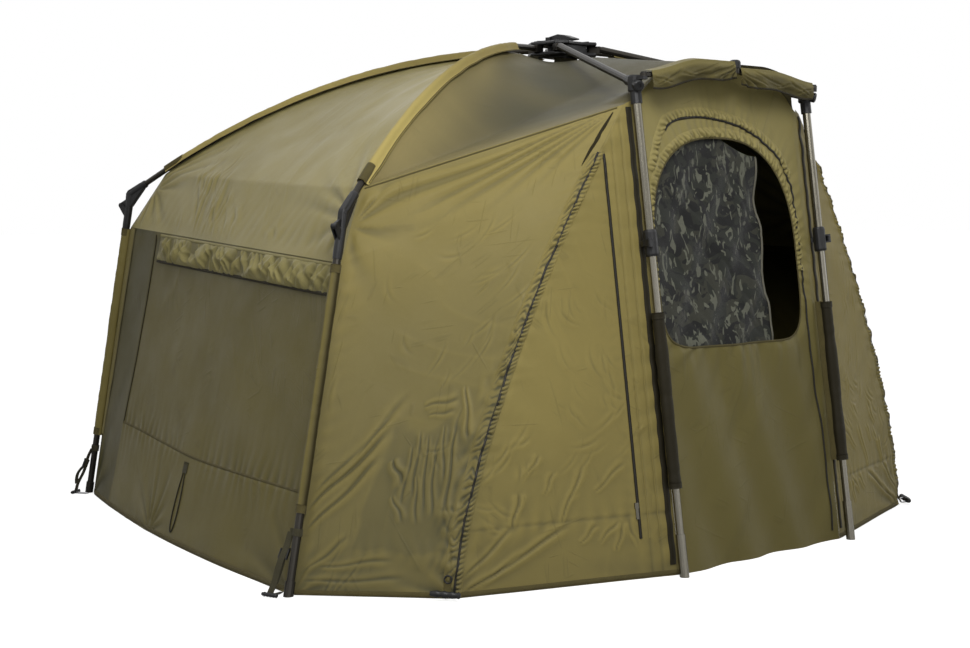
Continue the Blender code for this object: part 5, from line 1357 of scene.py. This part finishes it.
def make_zip(name, points, normals, tape):
    # a woven tape, and a chain of coils standing on it
    made = Piece(name, ZIP_TAPE, CHAIN)
    made.sweep(points, normals, crown(tape, tape * 0.4, 0.0004, 0.001), closed=False)
    run = running(points)
    count = int(run[-1] / 0.0024)
    fine = np.linspace(0.0, run[-1], count)
    face = np.broadcast_to(normals, points.shape)
    spots, face = (np.stack([np.interp(fine, run, rows[:, k]) for k in range(3)], axis=-1)
                   for rows in (points, face))
    tooth = np.where(np.arange(count) % 2 == 0, 1.0, 0.8)[:, None, None]
    chain = np.array(crown(0.003, 0.0026, 0.0008, 0.0024, 0.0019))
    made.sweep(spots, unit(face), chain[None] * tooth, 1, closed=False)
    made.build()


# the camouflage panel's right edge at its top and foot, and its lower edge
CAMO_RIGHT, CAMO_SPLAY, CAMO_FOOT = 0.166, 0.022, 0.596


def make_camo():
    # the drape hangs from behind the arch, with folds on a lean and a curling right edge
    u, v = np.meshgrid(np.linspace(0.0, 1.0, 76), np.linspace(0.0, 1.0, 96))
    left, right = WINDOW_X - WINDOW_HALF * 1.06, CAMO_RIGHT + CAMO_SPLAY * v
    x = left + (right - left) * u
    top = WINDOW_Z + WINDOW_RISE * 1.1 - 0.085 * rise((u - 0.45) / 0.55)
    z = top + (CAMO_FOOT - top) * v
    free = rise(u * 3.0) * rise(v * 4.0)
    behind = 0.0031 + 0.007 * rise(v * 1.6) + 0.006
    drape = 0.016 * (0.5 + 0.5 * np.sin(2.0 * math.pi * (x - 0.62 * z) / 0.17)) * free
    drape = drape + 0.006 * folds(x, z, -42.0, 0.06, 0.4, 401) * free
    drape = drape + 0.0035 * creases(x, z, -48.0, 0.05, 0.3, 403) * free
    drape = drape + 0.002 * creases(x, z, 35.0, 0.04, 0.16, 405) * free
    drape = drape + 0.01 * rise((u - 0.82) / 0.18) * (0.5 + 0.5 * np.sin(z * 31.0))
    p = xyz(x, lean(z) + DOOR_BACK + behind + np.clip(drape, -0.004, None), z)
    made = Piece("camo_drape", CAMO)
    made.grid(p, FORWARD, None, np.stack([x, z], axis=-1))
    drape = made.build(stands_for=["camo_inner_panel"])
    strip("camo_hem", HEM, p[:, -1] + FORWARD * 0.0008, FORWARD, slab(0.004, 0.0, 0.0014))


# The side windows' covers, gathered along the top of the walls
COVER_START, COVER_LONG, COVER_HALF, COVER_TALL = 0.185, 0.8, 0.042, 0.105
COVER_FULL, COVER_REAL = 1.55, 1.5


def make_roll(label):
    panel = PANELS["side_wall_" + label]
    k = np.linspace(0.0, 1.0, 460)
    u = COVER_START + COVER_LONG * k
    middle_v = 0.084 * 0.62 / WALL_HIGH
    x = k * COVER_FULL
    end = np.minimum(1.0, 0.35 + 6.0 * np.minimum(k, 1.0 - k))

    def place(share):
        return middle_v + COVER_HALF * (2.0 * share - 1.0) / WALL_HIGH * np.ones_like(k)

    rows, hollows = [], []
    for share in np.linspace(0.0, 1.0, 34):
        # from the top edge over the outside to the lower one
        body = math.sin(math.pi * share ** 1.35) ** 0.55 if 0.0 < share < 1.0 else 0.0
        skew, y = share * 0.035, share * COVER_TALL
        gather = 0.62 + 0.3 * noise((x + skew) / 0.07, y / 0.075, 501)
        facet = np.abs(noise((x + 0.5 * y) / 0.046, (y - 0.12 * x) / 0.1, 503))
        facet = facet + 0.7 * np.abs(noise((x - 0.7 * y) / 0.034, (y + 0.15 * x) / 0.06, 507))
        gather = gather + 0.95 * (0.42 - facet)
        gather = gather + 0.08 * noise((x - skew * 1.5) / 0.015, y / 0.04, 505)
        proud = 0.0022 + 0.0225 * body * end * np.clip(gather, 0.06, 1.35)
        # painted shade where the gathers sink in
        hollows.append(np.clip(0.95 - 1.35 * gather, 0.0, 1.0))
        spot, out = panel.at(u, np.clip(place(share), 0.0, 1.0), 0.0, True)
        rows.append(spot + out * proud[:, None])
    made = Piece("window_cover_" + label, ROLL)
    out = panel.at(u, np.full_like(u, middle_v), 0.0, True)[1]
    made.grid(np.stack(rows), out[None], 0.85 * np.stack(hollows))
    roll = made.build(stands_for=["window_roll_" + label])
    # the lower seam is in dark tape: painted shade of the shadow line under the cover's lower edge
    for share, name, finish in ((0.0, "upper", ROLL), (1.0, "lower", DARK_TAPE)):
        spot, out = panel.at(u, np.clip(place(share), 0.006, 1.0), 0.0024, True)
        strip("window_cover_" + name + "_seam_" + label, finish, spot[::2], out[::2],
              crown(0.0055, 0.0045, -0.0008, 0.0016))


# Sleeves on the ribs and the legs: where they begin and end along the rib or in height
RIB_SLEEVE_START, LEG_SLEEVE_FOOT = 0.15, 0.215
FRONT_SLEEVE_TOP, FRONT_SLEEVE_FOOT = 0.735, 0.245
RIB_CUFF, SKIRT, SKIRT_SEAM_IN, SKIRT_SEAM_DOWN = 0.0142, 0.0225, 0.003, 0.0106


def sleeve_seed(first, kind, side):
    return first + (20 if kind == "side" else 0) + side


def both_halves(a, b):
    # a section's sideways and upward places, given up to its middle
    return np.concatenate([a, -a[-2::-1]]), np.concatenate([b, b[-2::-1]])


def rib_sleeve(kind, side):
    along = np.linspace(RIB_SLEEVE_START, SLEEVE_END[kind] - 0.002, 190)
    spots = in_rib_plane(kind, along, rib_z(kind, along))
    tangent = unit(np.gradient(spots, axis=0))
    across = unit(np.cross(tangent, UP))
    up = unit(np.cross(across, tangent))
    seed = sleeve_seed(600, kind, side)
    wave = ripple(along, (0.05, 0.03, seed), (0.045, 0.013, seed + 1))
    skirt = SKIRT + 0.0035 * noise(along / 0.045, 0.0, seed + 2)[:, None]
    # from the skirt's edge, in shares of its width, to the crown over the tube
    a, b = both_halves(np.array([-1.0, -0.8, -0.64, -0.56, -0.44, -0.22, 0.0]),
                       np.array([-0.0118, -0.01, -0.0055, 0.001, 0.008, 0.0116, 0.0126]))
    section = np.stack([a * skirt, np.where(b > -0.006, b * wave, b)], axis=-1)
    made = Piece("rib_sleeve_" + kind + "_" + NAMES[side], SLEEVE, TAPE, side=side)
    # painted shade: darker towards the hub
    dusk = 0.42 * (1.0 - rise((along - 0.25) / 0.6))[:, None] * np.ones(len(a))
    made.sweep(spots, up, section, 0, closed=False, shade=dusk)
    for edge in SIDES:
        line = spots + across * (edge * (skirt - SKIRT_SEAM_IN)) - up * SKIRT_SEAM_DOWN
        made.sweep(line[::2], up[::2], crown(0.0022, 0.0018, 0.0, 0.0008), 1, closed=False)
    # the reinforced end of the sleeve
    turn = np.linspace(-0.62 * math.pi, 0.62 * math.pi, 15)
    cuff = np.stack([np.sin(turn), np.cos(turn)], axis=-1) * RIB_CUFF
    made.sweep(spots[-12:], up[-12:], cuff, 1, closed=False)
    made.build("rib_" + kind + "_" + NAMES[side])


def leg_sleeve(kind, side):
    z = np.linspace(WALL_TOP[kind] - 0.004, LEG_SLEEVE_FOOT, 150)
    spots = in_rib_plane(kind, leg_reach(kind, z), z)
    out = np.array([*RIBS[kind]["out"], 0.0])
    seed = sleeve_seed(640, kind, side)
    wave = ripple(z, (0.08, 0.06, seed), (0.05, 0.017, seed + 1))
    # from the seam behind the tube to the front
    a, b = both_halves(np.array([-0.0012, -0.0075, -0.014, -0.0138, -0.0085, 0.0]),
                       np.array([-0.019, -0.015, -0.004, 0.003, 0.0112, 0.0142]))
    section = np.stack([a * wave, b * np.where(b > -0.012, wave, 1.0)], axis=-1)
    made = Piece("leg_sleeve_" + kind + "_" + NAMES[side], LEG_SLEEVE, TAPE, side=side)
    # painted shade on the sleeve's flanks, its middle lighter
    dark = np.clip(np.abs(a) / 0.01 - 0.45, 0.0, 1.0) * np.ones((len(z), 1))
    made.sweep(spots, out, section, shade=None if kind == "rear" else dark)
    for end in (slice(6), slice(-6, None)):
        made.sweep(spots[end], out, circle(16, 0.0146, 0.015), 1)
    made.build("leg_" + kind + "_" + NAMES[side])


def front_sleeve(side):
    z = np.linspace(FRONT_SLEEVE_TOP, FRONT_SLEEVE_FOOT, 110)
    spots = xyz(-FRONT_HALF, lean(z), z)
    wave = ripple(z, (0.07, 0.07, 690 + side), (0.04, 0.018, 692 + side))
    round_it = circle(20, 0.0195, 0.0158)
    made = Piece("front_sleeve_" + NAMES[side], DARK_SLEEVE, TAPE, side=side)
    made.sweep(spots, FORWARD, round_it * wave[..., None])
    for end in (slice(5), slice(-5, None)):
        made.sweep(spots[end], FORWARD, round_it * 1.07)
    # the lighter flap that ties the sleeve to the front edge of the wing
    flap = [(-0.013, 0.0), (-0.012, 0.0012), (0.0, 0.0018), (0.008, 0.001)]
    line = spots + np.array([0.0158, 0.02, 0.0])
    made.sweep(line, np.array([1.0, -0.4, 0.0]), flap, 1, closed=False)
    made.build("arm_" + NAMES[side])


# The brim's cloth over its bars
def make_valance(side):
    depth = np.linspace(0.0, 1.0, 34)
    r, over = BRIM_RADIUS, BRIM_RADIUS + 0.0029
    keys = np.array([0.0, 0.16, 0.3, 0.46, 0.72, 1.0])
    back = np.interp(depth, keys, [BRIM_BACK - 0.0006, 0.0, -r * 1.35, -0.015, -0.016, -0.014])
    up = np.interp(depth, keys, [BRIM_LIFT * 0.95, over, r * 1.2, -r * 0.6, -0.039, -0.064])
    k, d = np.meshgrid(np.linspace(0.052, 1.0 - 0.014 / FRONT_HALF, 180), depth)
    hang = rise((d - 0.3) / 0.7)
    hangs = 0.62 + 0.14 * rise(k / 0.22) - 0.16 * rise((k - 0.8) / 0.2)
    below = np.minimum(up[:, None], 0.0) * hangs
    # folds that fan out from the corner joint, waves along the edge and single folds
    spoke = np.arctan2(hang * 0.06 + 0.004, (1.0 - k) * FRONT_HALF + 0.01)
    sway = 1.3 * side + 1.2 * noise(k * 3.0, hang * 2.0, 705 + side)
    fan = 0.0034 * np.sin(spoke * 19.0 + sway) * hang
    ends = hang * rise(k * 4.0) * rise((1.0 - k) * 3.0)
    fan = fan + 0.0014 * np.sin((k * 4.2 - hang * 0.9) * 2.0 * math.pi) * ends
    fan = fan + fold_lines(k * FRONT_HALF, hang * 0.052, BRIM_FOLDS)
    fine = 0.0016 * folds(k * FRONT_HALF, d * 0.1, 24.0, 0.022, 0.16, 701 + side) * (0.25 + hang)
    level = rise(k / LEVEL_SHARE)
    lap = (BRIM_RADIUS + 0.0003) * level
    y = brim_y(k) + back[:, None] - np.clip(fan, -0.003, None) - fine
    z = brim_z(k) + np.maximum(up[:, None], 0.0) + below + 0.0016 * (1.0 - level) - side * lap
    p = xyz(side * FRONT_HALF * (1.0 - k), y, z)
    made = Piece("brim_cloth_" + NAMES[side], VALANCE, DARK_TAPE)
    # painted shade on the hanging cloth, darker in the fan's hollows and lighter on its rises
    dark = np.clip(0.66 * rise((hang - 0.04) / 0.3) - fan * 40.0, 0.0, 1.0)
    made.grid(p, np.array([0.0, -0.5, 0.5]), dark)
    # the binding along the lower edge is in dark tape: painted shade of the edge that tucks under
    made.sweep(p[-1] + np.array([0.0, -0.0004, 0.001]), FORWARD, slab(0.003, -0.0008, 0.0008), 1)
    brim = made.build("brim_" + NAMES[side], ["brim_valance_" + NAMES[side]])


# Webbing straps with ladder-lock buckles and T-pegs: the height of the ring on the leg, how
# far the strap hangs beside it, and the peg's place out from the leg, beside it and up
RING_Z, RING_RADIUS, STRAP_ASIDE, STRAP_HALF = 0.165, 0.0139, 0.0227, 0.01
PEG_OUT, PEG_ASIDE, PEG_UP, PEG_LONG, SPIKE_LONG = 0.034, 0.036, 0.0065, 0.052, 0.055


def t_peg(made, head, spike, up, ring, thin, rib, end, thick):
    # a ribbed handle, from thin to its ribs' height, and a spike that ends in a point
    size = thin + rib * (np.arange(len(head)) % 4 < 2)
    size[[0, -1]] = end
    made.sweep(head, up, ring * size[:, None, None], 1)
    size = np.array([thick] * 7 + [thick - 0.001, 0.001])
    made.sweep(spike, up, ring * size[:, None, None], 2)


def make_strap(kind, side):
    label = kind + "_" + NAMES[side]
    rib = RIBS[kind]
    out = np.array([*rib["out"], 0.0])
    beside = np.array([-out[1], out[0], 0.0]) * (1.0 if kind == "rear" else -1.0)
    top = in_rib_plane(kind, leg_reach(kind, np.array(RING_Z)), np.array(RING_Z))
    leg = out * rib["leg"][0] + UP * rib["leg"][1]
    made = Piece("strap_" + label, WEBBING, BLACK, STEEL, side=side)
    collar = top + leg * np.linspace(-0.01, 0.01, 6)[:, None]
    made.sweep(collar, out, circle(24, RING_RADIUS))
    start = top + beside * STRAP_ASIDE
    foot = in_rib_plane(kind, rib["span"] + PEG_OUT, PEG_UP) + beside * PEG_ASIDE
    run = foot - start
    down = run / float(np.linalg.norm(run))
    wide = unit(beside - down * np.dot(beside, down))
    face = np.cross(down, wide)

    def part(low, high, count):
        return start + run * np.linspace(low, high, count)[:, None]

    strap = np.array(slab(STRAP_HALF, -0.001, 0.001))
    k = np.linspace(0.0, 1.0, 40)
    slack = 0.0025 * np.sin(math.pi * k * 3.0) * rise(k * 6.0) * rise((1.0 - k) * 6.0)
    made.sweep(part(0.0, 1.0, 40) + face * slack[:, None], face, strap)
    # the stitched lap from the ring to the strap
    lap = top + beside * np.linspace(0.0135, 0.024, 6)[:, None]
    made.sweep(lap, out, slab(STRAP_HALF, -0.0012, 0.0012))
    # the loose tail below the buckle
    k = np.linspace(0.0, 1.0, 26)
    tail = start + run * (0.4 + 0.42 * k)[:, None]
    tail = tail + face * (0.004 + 0.01 * np.sin(math.pi * k * 0.9))[:, None]
    made.sweep(tail + wide * (0.006 * np.sin(k * 3.0))[:, None], face, strap * 0.96)
    # the buckle: a frame with three bars and a lifted lip
    for place, thick in ((0.3, 0.0022), (0.355, 0.0026), (0.41, 0.0022)):
        bar = start + run * place + wide * np.linspace(-0.014, 0.014, 7)[:, None] + face * 0.0028
        made.sweep(bar, face, circle(24)[::2] * thick, 1)
    rail = [(-0.0018, -0.0032), (-0.0022, 0.0), (-0.0016, 0.003),
            (0.0016, 0.003), (0.0022, 0.0), (0.0018, -0.0032)]
    for edge in (-0.0135, 0.0135):
        made.sweep(part(0.27, 0.43, 8) + wide * edge + face * 0.0022, face, rail, 1)
    lip = part(0.24, 0.31, 6) + face * np.linspace(0.0075, 0.0035, 6)[:, None]
    made.sweep(lip, face, slab(0.0125, -0.0011, 0.0011), 1)
    head = foot + beside * (np.linspace(0.0, 1.0, 21) - 0.5)[:, None] * PEG_LONG
    spike = foot - out * (SPIKE_LONG * np.linspace(0.0, 1.0, 9))[:, None] - UP * 0.003
    t_peg(made, head, spike, UP, circle(24), 0.005, 0.0013, 0.0042, 0.0035)
    made.build("leg_" + label, ["peg_strap_" + label], sharp=40.0)


def ruffles(name, finish, spot, out, run, across, pitches, height, seed, shade=0.0):
    # a fine gathered strip; across is 0 on the seam, and its far edges dip under the cloth;
    # the pitches are those of its first and second side
    c, first, run = across[None], across[None] < 0.0, run[:, None]
    reach = np.where(first, max(-across.min(), 1e-3), max(across.max(), 1e-3))
    off = np.abs(c)
    body = rise(off / (0.16 * reach) + 0.1) * rise((reach - off) / (0.7 * reach))
    pitch = np.where(first, *pitches)
    hand = np.where(first, 3.0, 11.0)
    phase = 2.0 * math.pi * (run + np.where(first, 0.5, 0.3) * c) / pitch
    phase = phase + np.where(first, 4.6, 2.2) * noise(run / (pitch * 1.9), c / 0.016 + hand, seed)
    strength = 0.72 + 0.75 * noise(run / (pitch * 2.3), hand + c / 0.03, seed + 1)
    wave = np.abs(np.sin(phase / 2.0)) * 1.7 - 0.55
    crumple = 0.65 * noise(run / 0.013, c / 0.01 + hand, seed + 2)
    lift = 0.0009 + height * body * np.clip(strength, 0.12, 1.5) * (0.7 + wave + crumple)
    lift = lift - 0.0024 * (1.0 - rise((reach - off) / (0.14 * reach)))
    p = spot + out * lift[..., None]
    made = Piece(name, finish)
    # painted shade in the ruffles' valleys and along the seam
    deep = np.clip(0.85 - (wave + crumple), 0.0, 1.0) * body + 0.55 * (1.0 - rise(off / 0.006))
    made.grid(p, out, np.clip(0.75 * deep + shade, 0.0, 1.0))
    done = made.build()


def make_ridge(label, side):
    # the zip between the quarter and the wing, with the ruffle on both of its sides
    left, right = PANELS["quarter_" + label], PANELS["wing_" + label]
    rows = np.linspace(0.0, 1.0, 400)
    runs = ridge_run(rows)
    run = np.arange(0.165, runs[-1] - 0.004, 0.0017)
    v = np.interp(run, runs, rows)
    across = np.concatenate([np.linspace(-0.036, 0.0, 14)[:-1], np.linspace(0.0, 0.023, 10)])
    wide, slim = left.wide_at(v), right.wide_at(v)
    spot, out = np.zeros((2, len(run), len(across), 3))
    middle = unit(left.at(np.full_like(v, 1.0), v)[1] + right.at(np.zeros_like(v), v)[1])
    for k, c in enumerate(across):
        panel, u = (left, 1.0 + c / wide) if c < 0.0 else (right, np.minimum(c / slim, 0.45))
        spot[:, k], n = panel.at(u, v)
        share = rise(np.array(1.0 - abs(c) / 0.012))
        out[:, k] = unit(n * (1.0 - share) + middle * share)
    # painted shade: darker low down
    fall = (0.35 * rise((v - 0.25) / 0.45))[:, None]
    ruffles("ridge_ruffle_" + label, QUARTER, spot, out, run, across, (0.024, 0.014), 0.0034,
            811 + side, fall)
    aside = 0.0026 * noise(run / 0.06, 0.0, 817 + side)[:, None]
    line = spot[:, 13] + unit(spot[:, 16] - spot[:, 10]) * aside + middle * 0.0014
    make_zip("ridge_zip_" + label, line[::2], middle[::2], 0.0032)
    # a dark strip: painted shade in the slot beside the corner, where the eave's seam ends
    v = np.linspace(0.012, 0.12, 24)
    line, out = left.at(0.972 - 0.25 * (v - 0.012), v, 0.0014)
    taper = np.sin(np.linspace(0.15, math.pi, 24)) ** 0.8 * 0.005 + 0.0004
    edge = np.array([(-1.0, -0.2), (0.0, 0.25), (1.0, -0.2)])
    strip("corner_slit_" + label, DARK_TAPE, line, out, edge * taper[:, None, None], False)


# heights of the wing's straight zip, of the dark strip beside the front leg, of the wing
# itself and of the hem's tape
ZIP_TOP, ZIP_FOOT, DARK_STRIP_TOP, DARK_STRIP_FOOT = 1.185, 0.11, 1.312, 0.03
WING_HIGH = 1.3275
HEM_UP = 0.0098


def make_wing_zip(label):
    panel = PANELS["wing_" + label]

    def beside_leg(high, low, count, away, lift, least=0.0):
        v = 1.0 - np.linspace(high, low, count) / WING_HIGH
        return panel.at(np.clip(1.0 - away / panel.wide_at(v), least, 1.0), v, lift)

    zip_line = beside_leg(ZIP_TOP, ZIP_FOOT, 240, ZIP_AWAY, 0.0008)
    make_zip("wing_zip_" + label, *zip_line, 0.005)
    # the flap's two stitched edges beside the front leg
    for away in FLAP_SEAMS:
        strip("wing_seam_%d_%s" % (away * 1000, label), QUARTER,
              *beside_leg(ZIP_TOP, ZIP_FOOT, 240, away, 0.0004),
              crown(0.0016, 0.001, -0.0006, 0.0008))
    # a dark strip on the wing beside the front leg
    line, out = beside_leg(DARK_STRIP_TOP, DARK_STRIP_FOOT, 220, 0.0185, 0.0008, 0.45)
    wide = panel.wide_at(1.0 - np.linspace(DARK_STRIP_TOP, DARK_STRIP_FOOT, 220) / WING_HIGH)
    half = np.minimum(0.01, wide * 0.2)[:, None, None]
    edge = np.array(crown(1.0, 0.9, -0.1, 0.12, 0.2))
    strip("leg_edging_" + label, DARK_SLEEVE, line, out, edge * half, False)


def make_wall_seams(label):
    # the seams around the window, and the one along the eave
    wall, front = PANELS["side_wall_" + label], PANELS["quarter_" + label]
    k = np.linspace(0.0, 1.0, 150)
    foot = PANE_REAR + 0.835 * k
    for name, finish, panel, u, v, wide, high in (
        # the rear seam is in dark tape: painted shade, the shadow line beside the window
        ("window_edge", DARK_TAPE, wall, PANE_REAR, 0.012 + (window_low(PANE_REAR) - 0.012) * k,
         0.0035, 0.0014),
        ("window_foot", TAPE, wall, foot, window_low(foot), 0.0042, 0.0014),
        ("eave", TAPE, front, 0.015 + 0.965 * k, 0.0035, 0.0024, 0.0012),
        ("window_side", DARK_TAPE, wall, PANE_FRONT, 0.15 + (window_low(PANE_FRONT) - 0.15) * k,
         0.003, 0.0014),
    ):
        spot, out = panel.at(u + 0.0 * k, v + 0.0 * k, 0.0004)
        strip(name + "_seam_" + label, finish, spot, out,
              crown(wide, wide * 0.8, -0.001, high * 0.7, high))


def make_slider(label):
    # the zip's slider and puller, on a body of their own
    node = frame["nodes"]["zip_slider_" + label]
    corners = np.array([list(node.matrix_world @ corner.co) for corner in node.data.vertices])
    corners[:, 1] += SETBACK
    made = Piece("zip_runner_" + label, SATIN)
    made.add(corners, [list(face.vertices) for face in node.data.polygons], 0, corners[:, ::2])
    made.build("zip_" + label, ["zip_slider_" + label], sharp=35.0)


def make_leg_flap(label):
    # the broad hem of the wall's cloth along the rear leg
    panel = PANELS["side_wall_" + label]
    v, k = np.meshgrid(np.linspace(0.002, 0.77, 160), np.linspace(0.0, 1.0, 9), indexing="ij")
    lift = 0.0018 + 0.0042 * np.sin(math.pi * k) + 0.0008 * noise(v / 0.05, k * 2.0, 905)
    spot, out = panel.at(k * (0.034 - 0.012 * v), v, lift)
    made = Piece("leg_flap_" + label, LEG_SLEEVE)
    # painted shade along the flap's free edge
    made.grid(spot, out, 0.8 * rise((k - 0.82) / 0.18))
    made.build()


def make_hem(label):
    k = np.linspace(0.004, 0.996, 170)
    for key in ("side_wall_", "quarter_", "wing_"):
        panel = PANELS[key + label]
        spot, out = panel.at(k, 1.0 - HEM_UP / panel.length + 0.0 * k, 0.0006)
        strip("hem_" + key + label, TAPE, spot, out, crown(0.007, 0.0066, -0.0012, 0.0009, 0.0013))


def ring_at(made, centre, out, up, big, thin, slot):
    turn = np.linspace(0.0, 2.0 * math.pi, 29)
    side = np.cross(out, up)
    spots = centre + big * (np.cos(turn)[:, None] * side + np.sin(turn)[:, None] * up)
    made.sweep(spots, out, circle(10, thin)[:, ::-1], slot)


def make_hem_peg(name, panel, u, hand):
    # an eyelet, a webbing loop with its ring, and a peg through it
    made = Piece(name, TAPE, BLACK, STEEL)
    top, out = panel.at(np.array([u]), np.array([1.0 - 0.06 / panel.length]), 0.0012)
    foot = panel.at(np.array([u]), np.array([0.999]))[0][0] + UP * 0.0035
    top, out = top[0], unit(out[0])
    up = unit(top - foot)
    out = unit(out - up * np.dot(out, up))
    side = np.cross(out, up)
    ring_at(made, foot + up * 0.046 + out * 0.0032, out, up, 0.01, 0.0022, 1)
    k = np.linspace(0.0, 1.0, 14)[:, None]
    drop = foot + up * (0.04 - 0.036 * k) + out * (0.002 + 0.012 * k ** 2)
    made.sweep(drop, out, slab(0.01, 0.0, 0.0018))
    ring_at(made, foot + up * 0.007 + out * 0.02, side, up, 0.008, 0.0019, 2)
    k = np.linspace(0.0, 1.0, 17)
    head = foot + out * 0.032 + up * 0.01 + side * ((k - 0.5) * 0.082)[:, None]
    spike = foot + out * (0.03 - 0.045 * k[:9])[:, None] + up * 0.0055 + side * (hand * 0.022)
    t_peg(made, head, spike, up, circle(16), 0.0078, 0.0018, 0.006, 0.0034)
    made.build(sharp=40.0)


def make_tie():
    # the webbing that hangs the roof cloth from the hub, folded round and stitched
    low, high = (np.array(c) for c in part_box("hub_tie_strap"))
    centre, half = (low + high) / 2.0, (high - low) / 2.0
    centre[1] += SETBACK
    made = Piece("tie_strap", WEBBING, TAPE)
    c, n = circle(28)[:, 1], circle(28)[:, 0]
    ring = np.stack([np.sign(c) * np.abs(c) ** 0.35 * half[0] * 0.985,
                     np.sign(n) * np.abs(n) ** 0.35 * half[1] * 0.96], axis=-1)
    k = np.linspace(-1.0, 1.0, 12)
    swell = (1.0 - 0.05 * (1.0 - k ** 2))[:, None, None]
    made.sweep(centre + UP * (k * half[2])[:, None], -FORWARD, ring * swell)
    for share in (-0.55, 0.5):
        bar = centre + ACROSS * (np.linspace(-0.8, 0.8, 9) * half[0])[:, None]
        bar = bar + np.array([0.0, -half[1] * 0.95, share * half[2]])
        made.sweep(bar, FORWARD, [(-0.0012, -0.0004), (0.0, 0.001), (0.0012, -0.0004)], 1)
    made.build(stands_for=["hub_tie_strap"], fold=False)


CHAIN = moulded_finish("zip_chain", (0.009, 0.0075, 0.0045), 0.55)
# two more copies of the olive nylon, lighter for the cover and darker for the brim: painted light
# and shade; the brim's second colour is its cloth in painted shade
ROLL = nylon_finish("nylon_cover", (0.262, 0.228, 0.09), None, 0.5, 0.6, 0.4)
VALANCE = nylon_finish("nylon_brim", (0.165, 0.138, 0.046), (0.034, 0.028, 0.009), 0.52, 1.0, 0.6)
make_door()
make_camo()
for side in SIDES:
    make_roll(NAMES[side])
    make_valance(side)
    front_sleeve(side)
    for kind in RIBS:
        rib_sleeve(kind, side)
        leg_sleeve(kind, side)
        make_strap(kind, side)
for side, label in NAMES.items():
    make_ridge(label, side)
    make_wing_zip(label)
    make_wall_seams(label)
    make_leg_flap(label)
    make_hem(label)
    make_hem_peg("hem_peg_" + label, PANELS["quarter_" + label], 0.955, side)
    make_slider(label)
make_hem_peg("hem_peg_rear", PANELS["rear_wall"], 0.5, 1)
make_tie()

# The CAD's own nodes that stay visible: bare and coated tubes, and black mouldings
TUBES = ("rib_", "leg_", "front_arm_", "front_leg_upper_", "brim_bar_")
for name, made in frame["nodes"].items():
    if made.hide_render:
        continue
    finish = BLACK
    if name.startswith(TUBES) and "socket" not in name:
        finish = GUNMETAL
    if name.startswith("front_leg_"):
        finish = BRIGHT if "lower" in name else SATIN
    for place in made.material_slots:
        place.material = finish
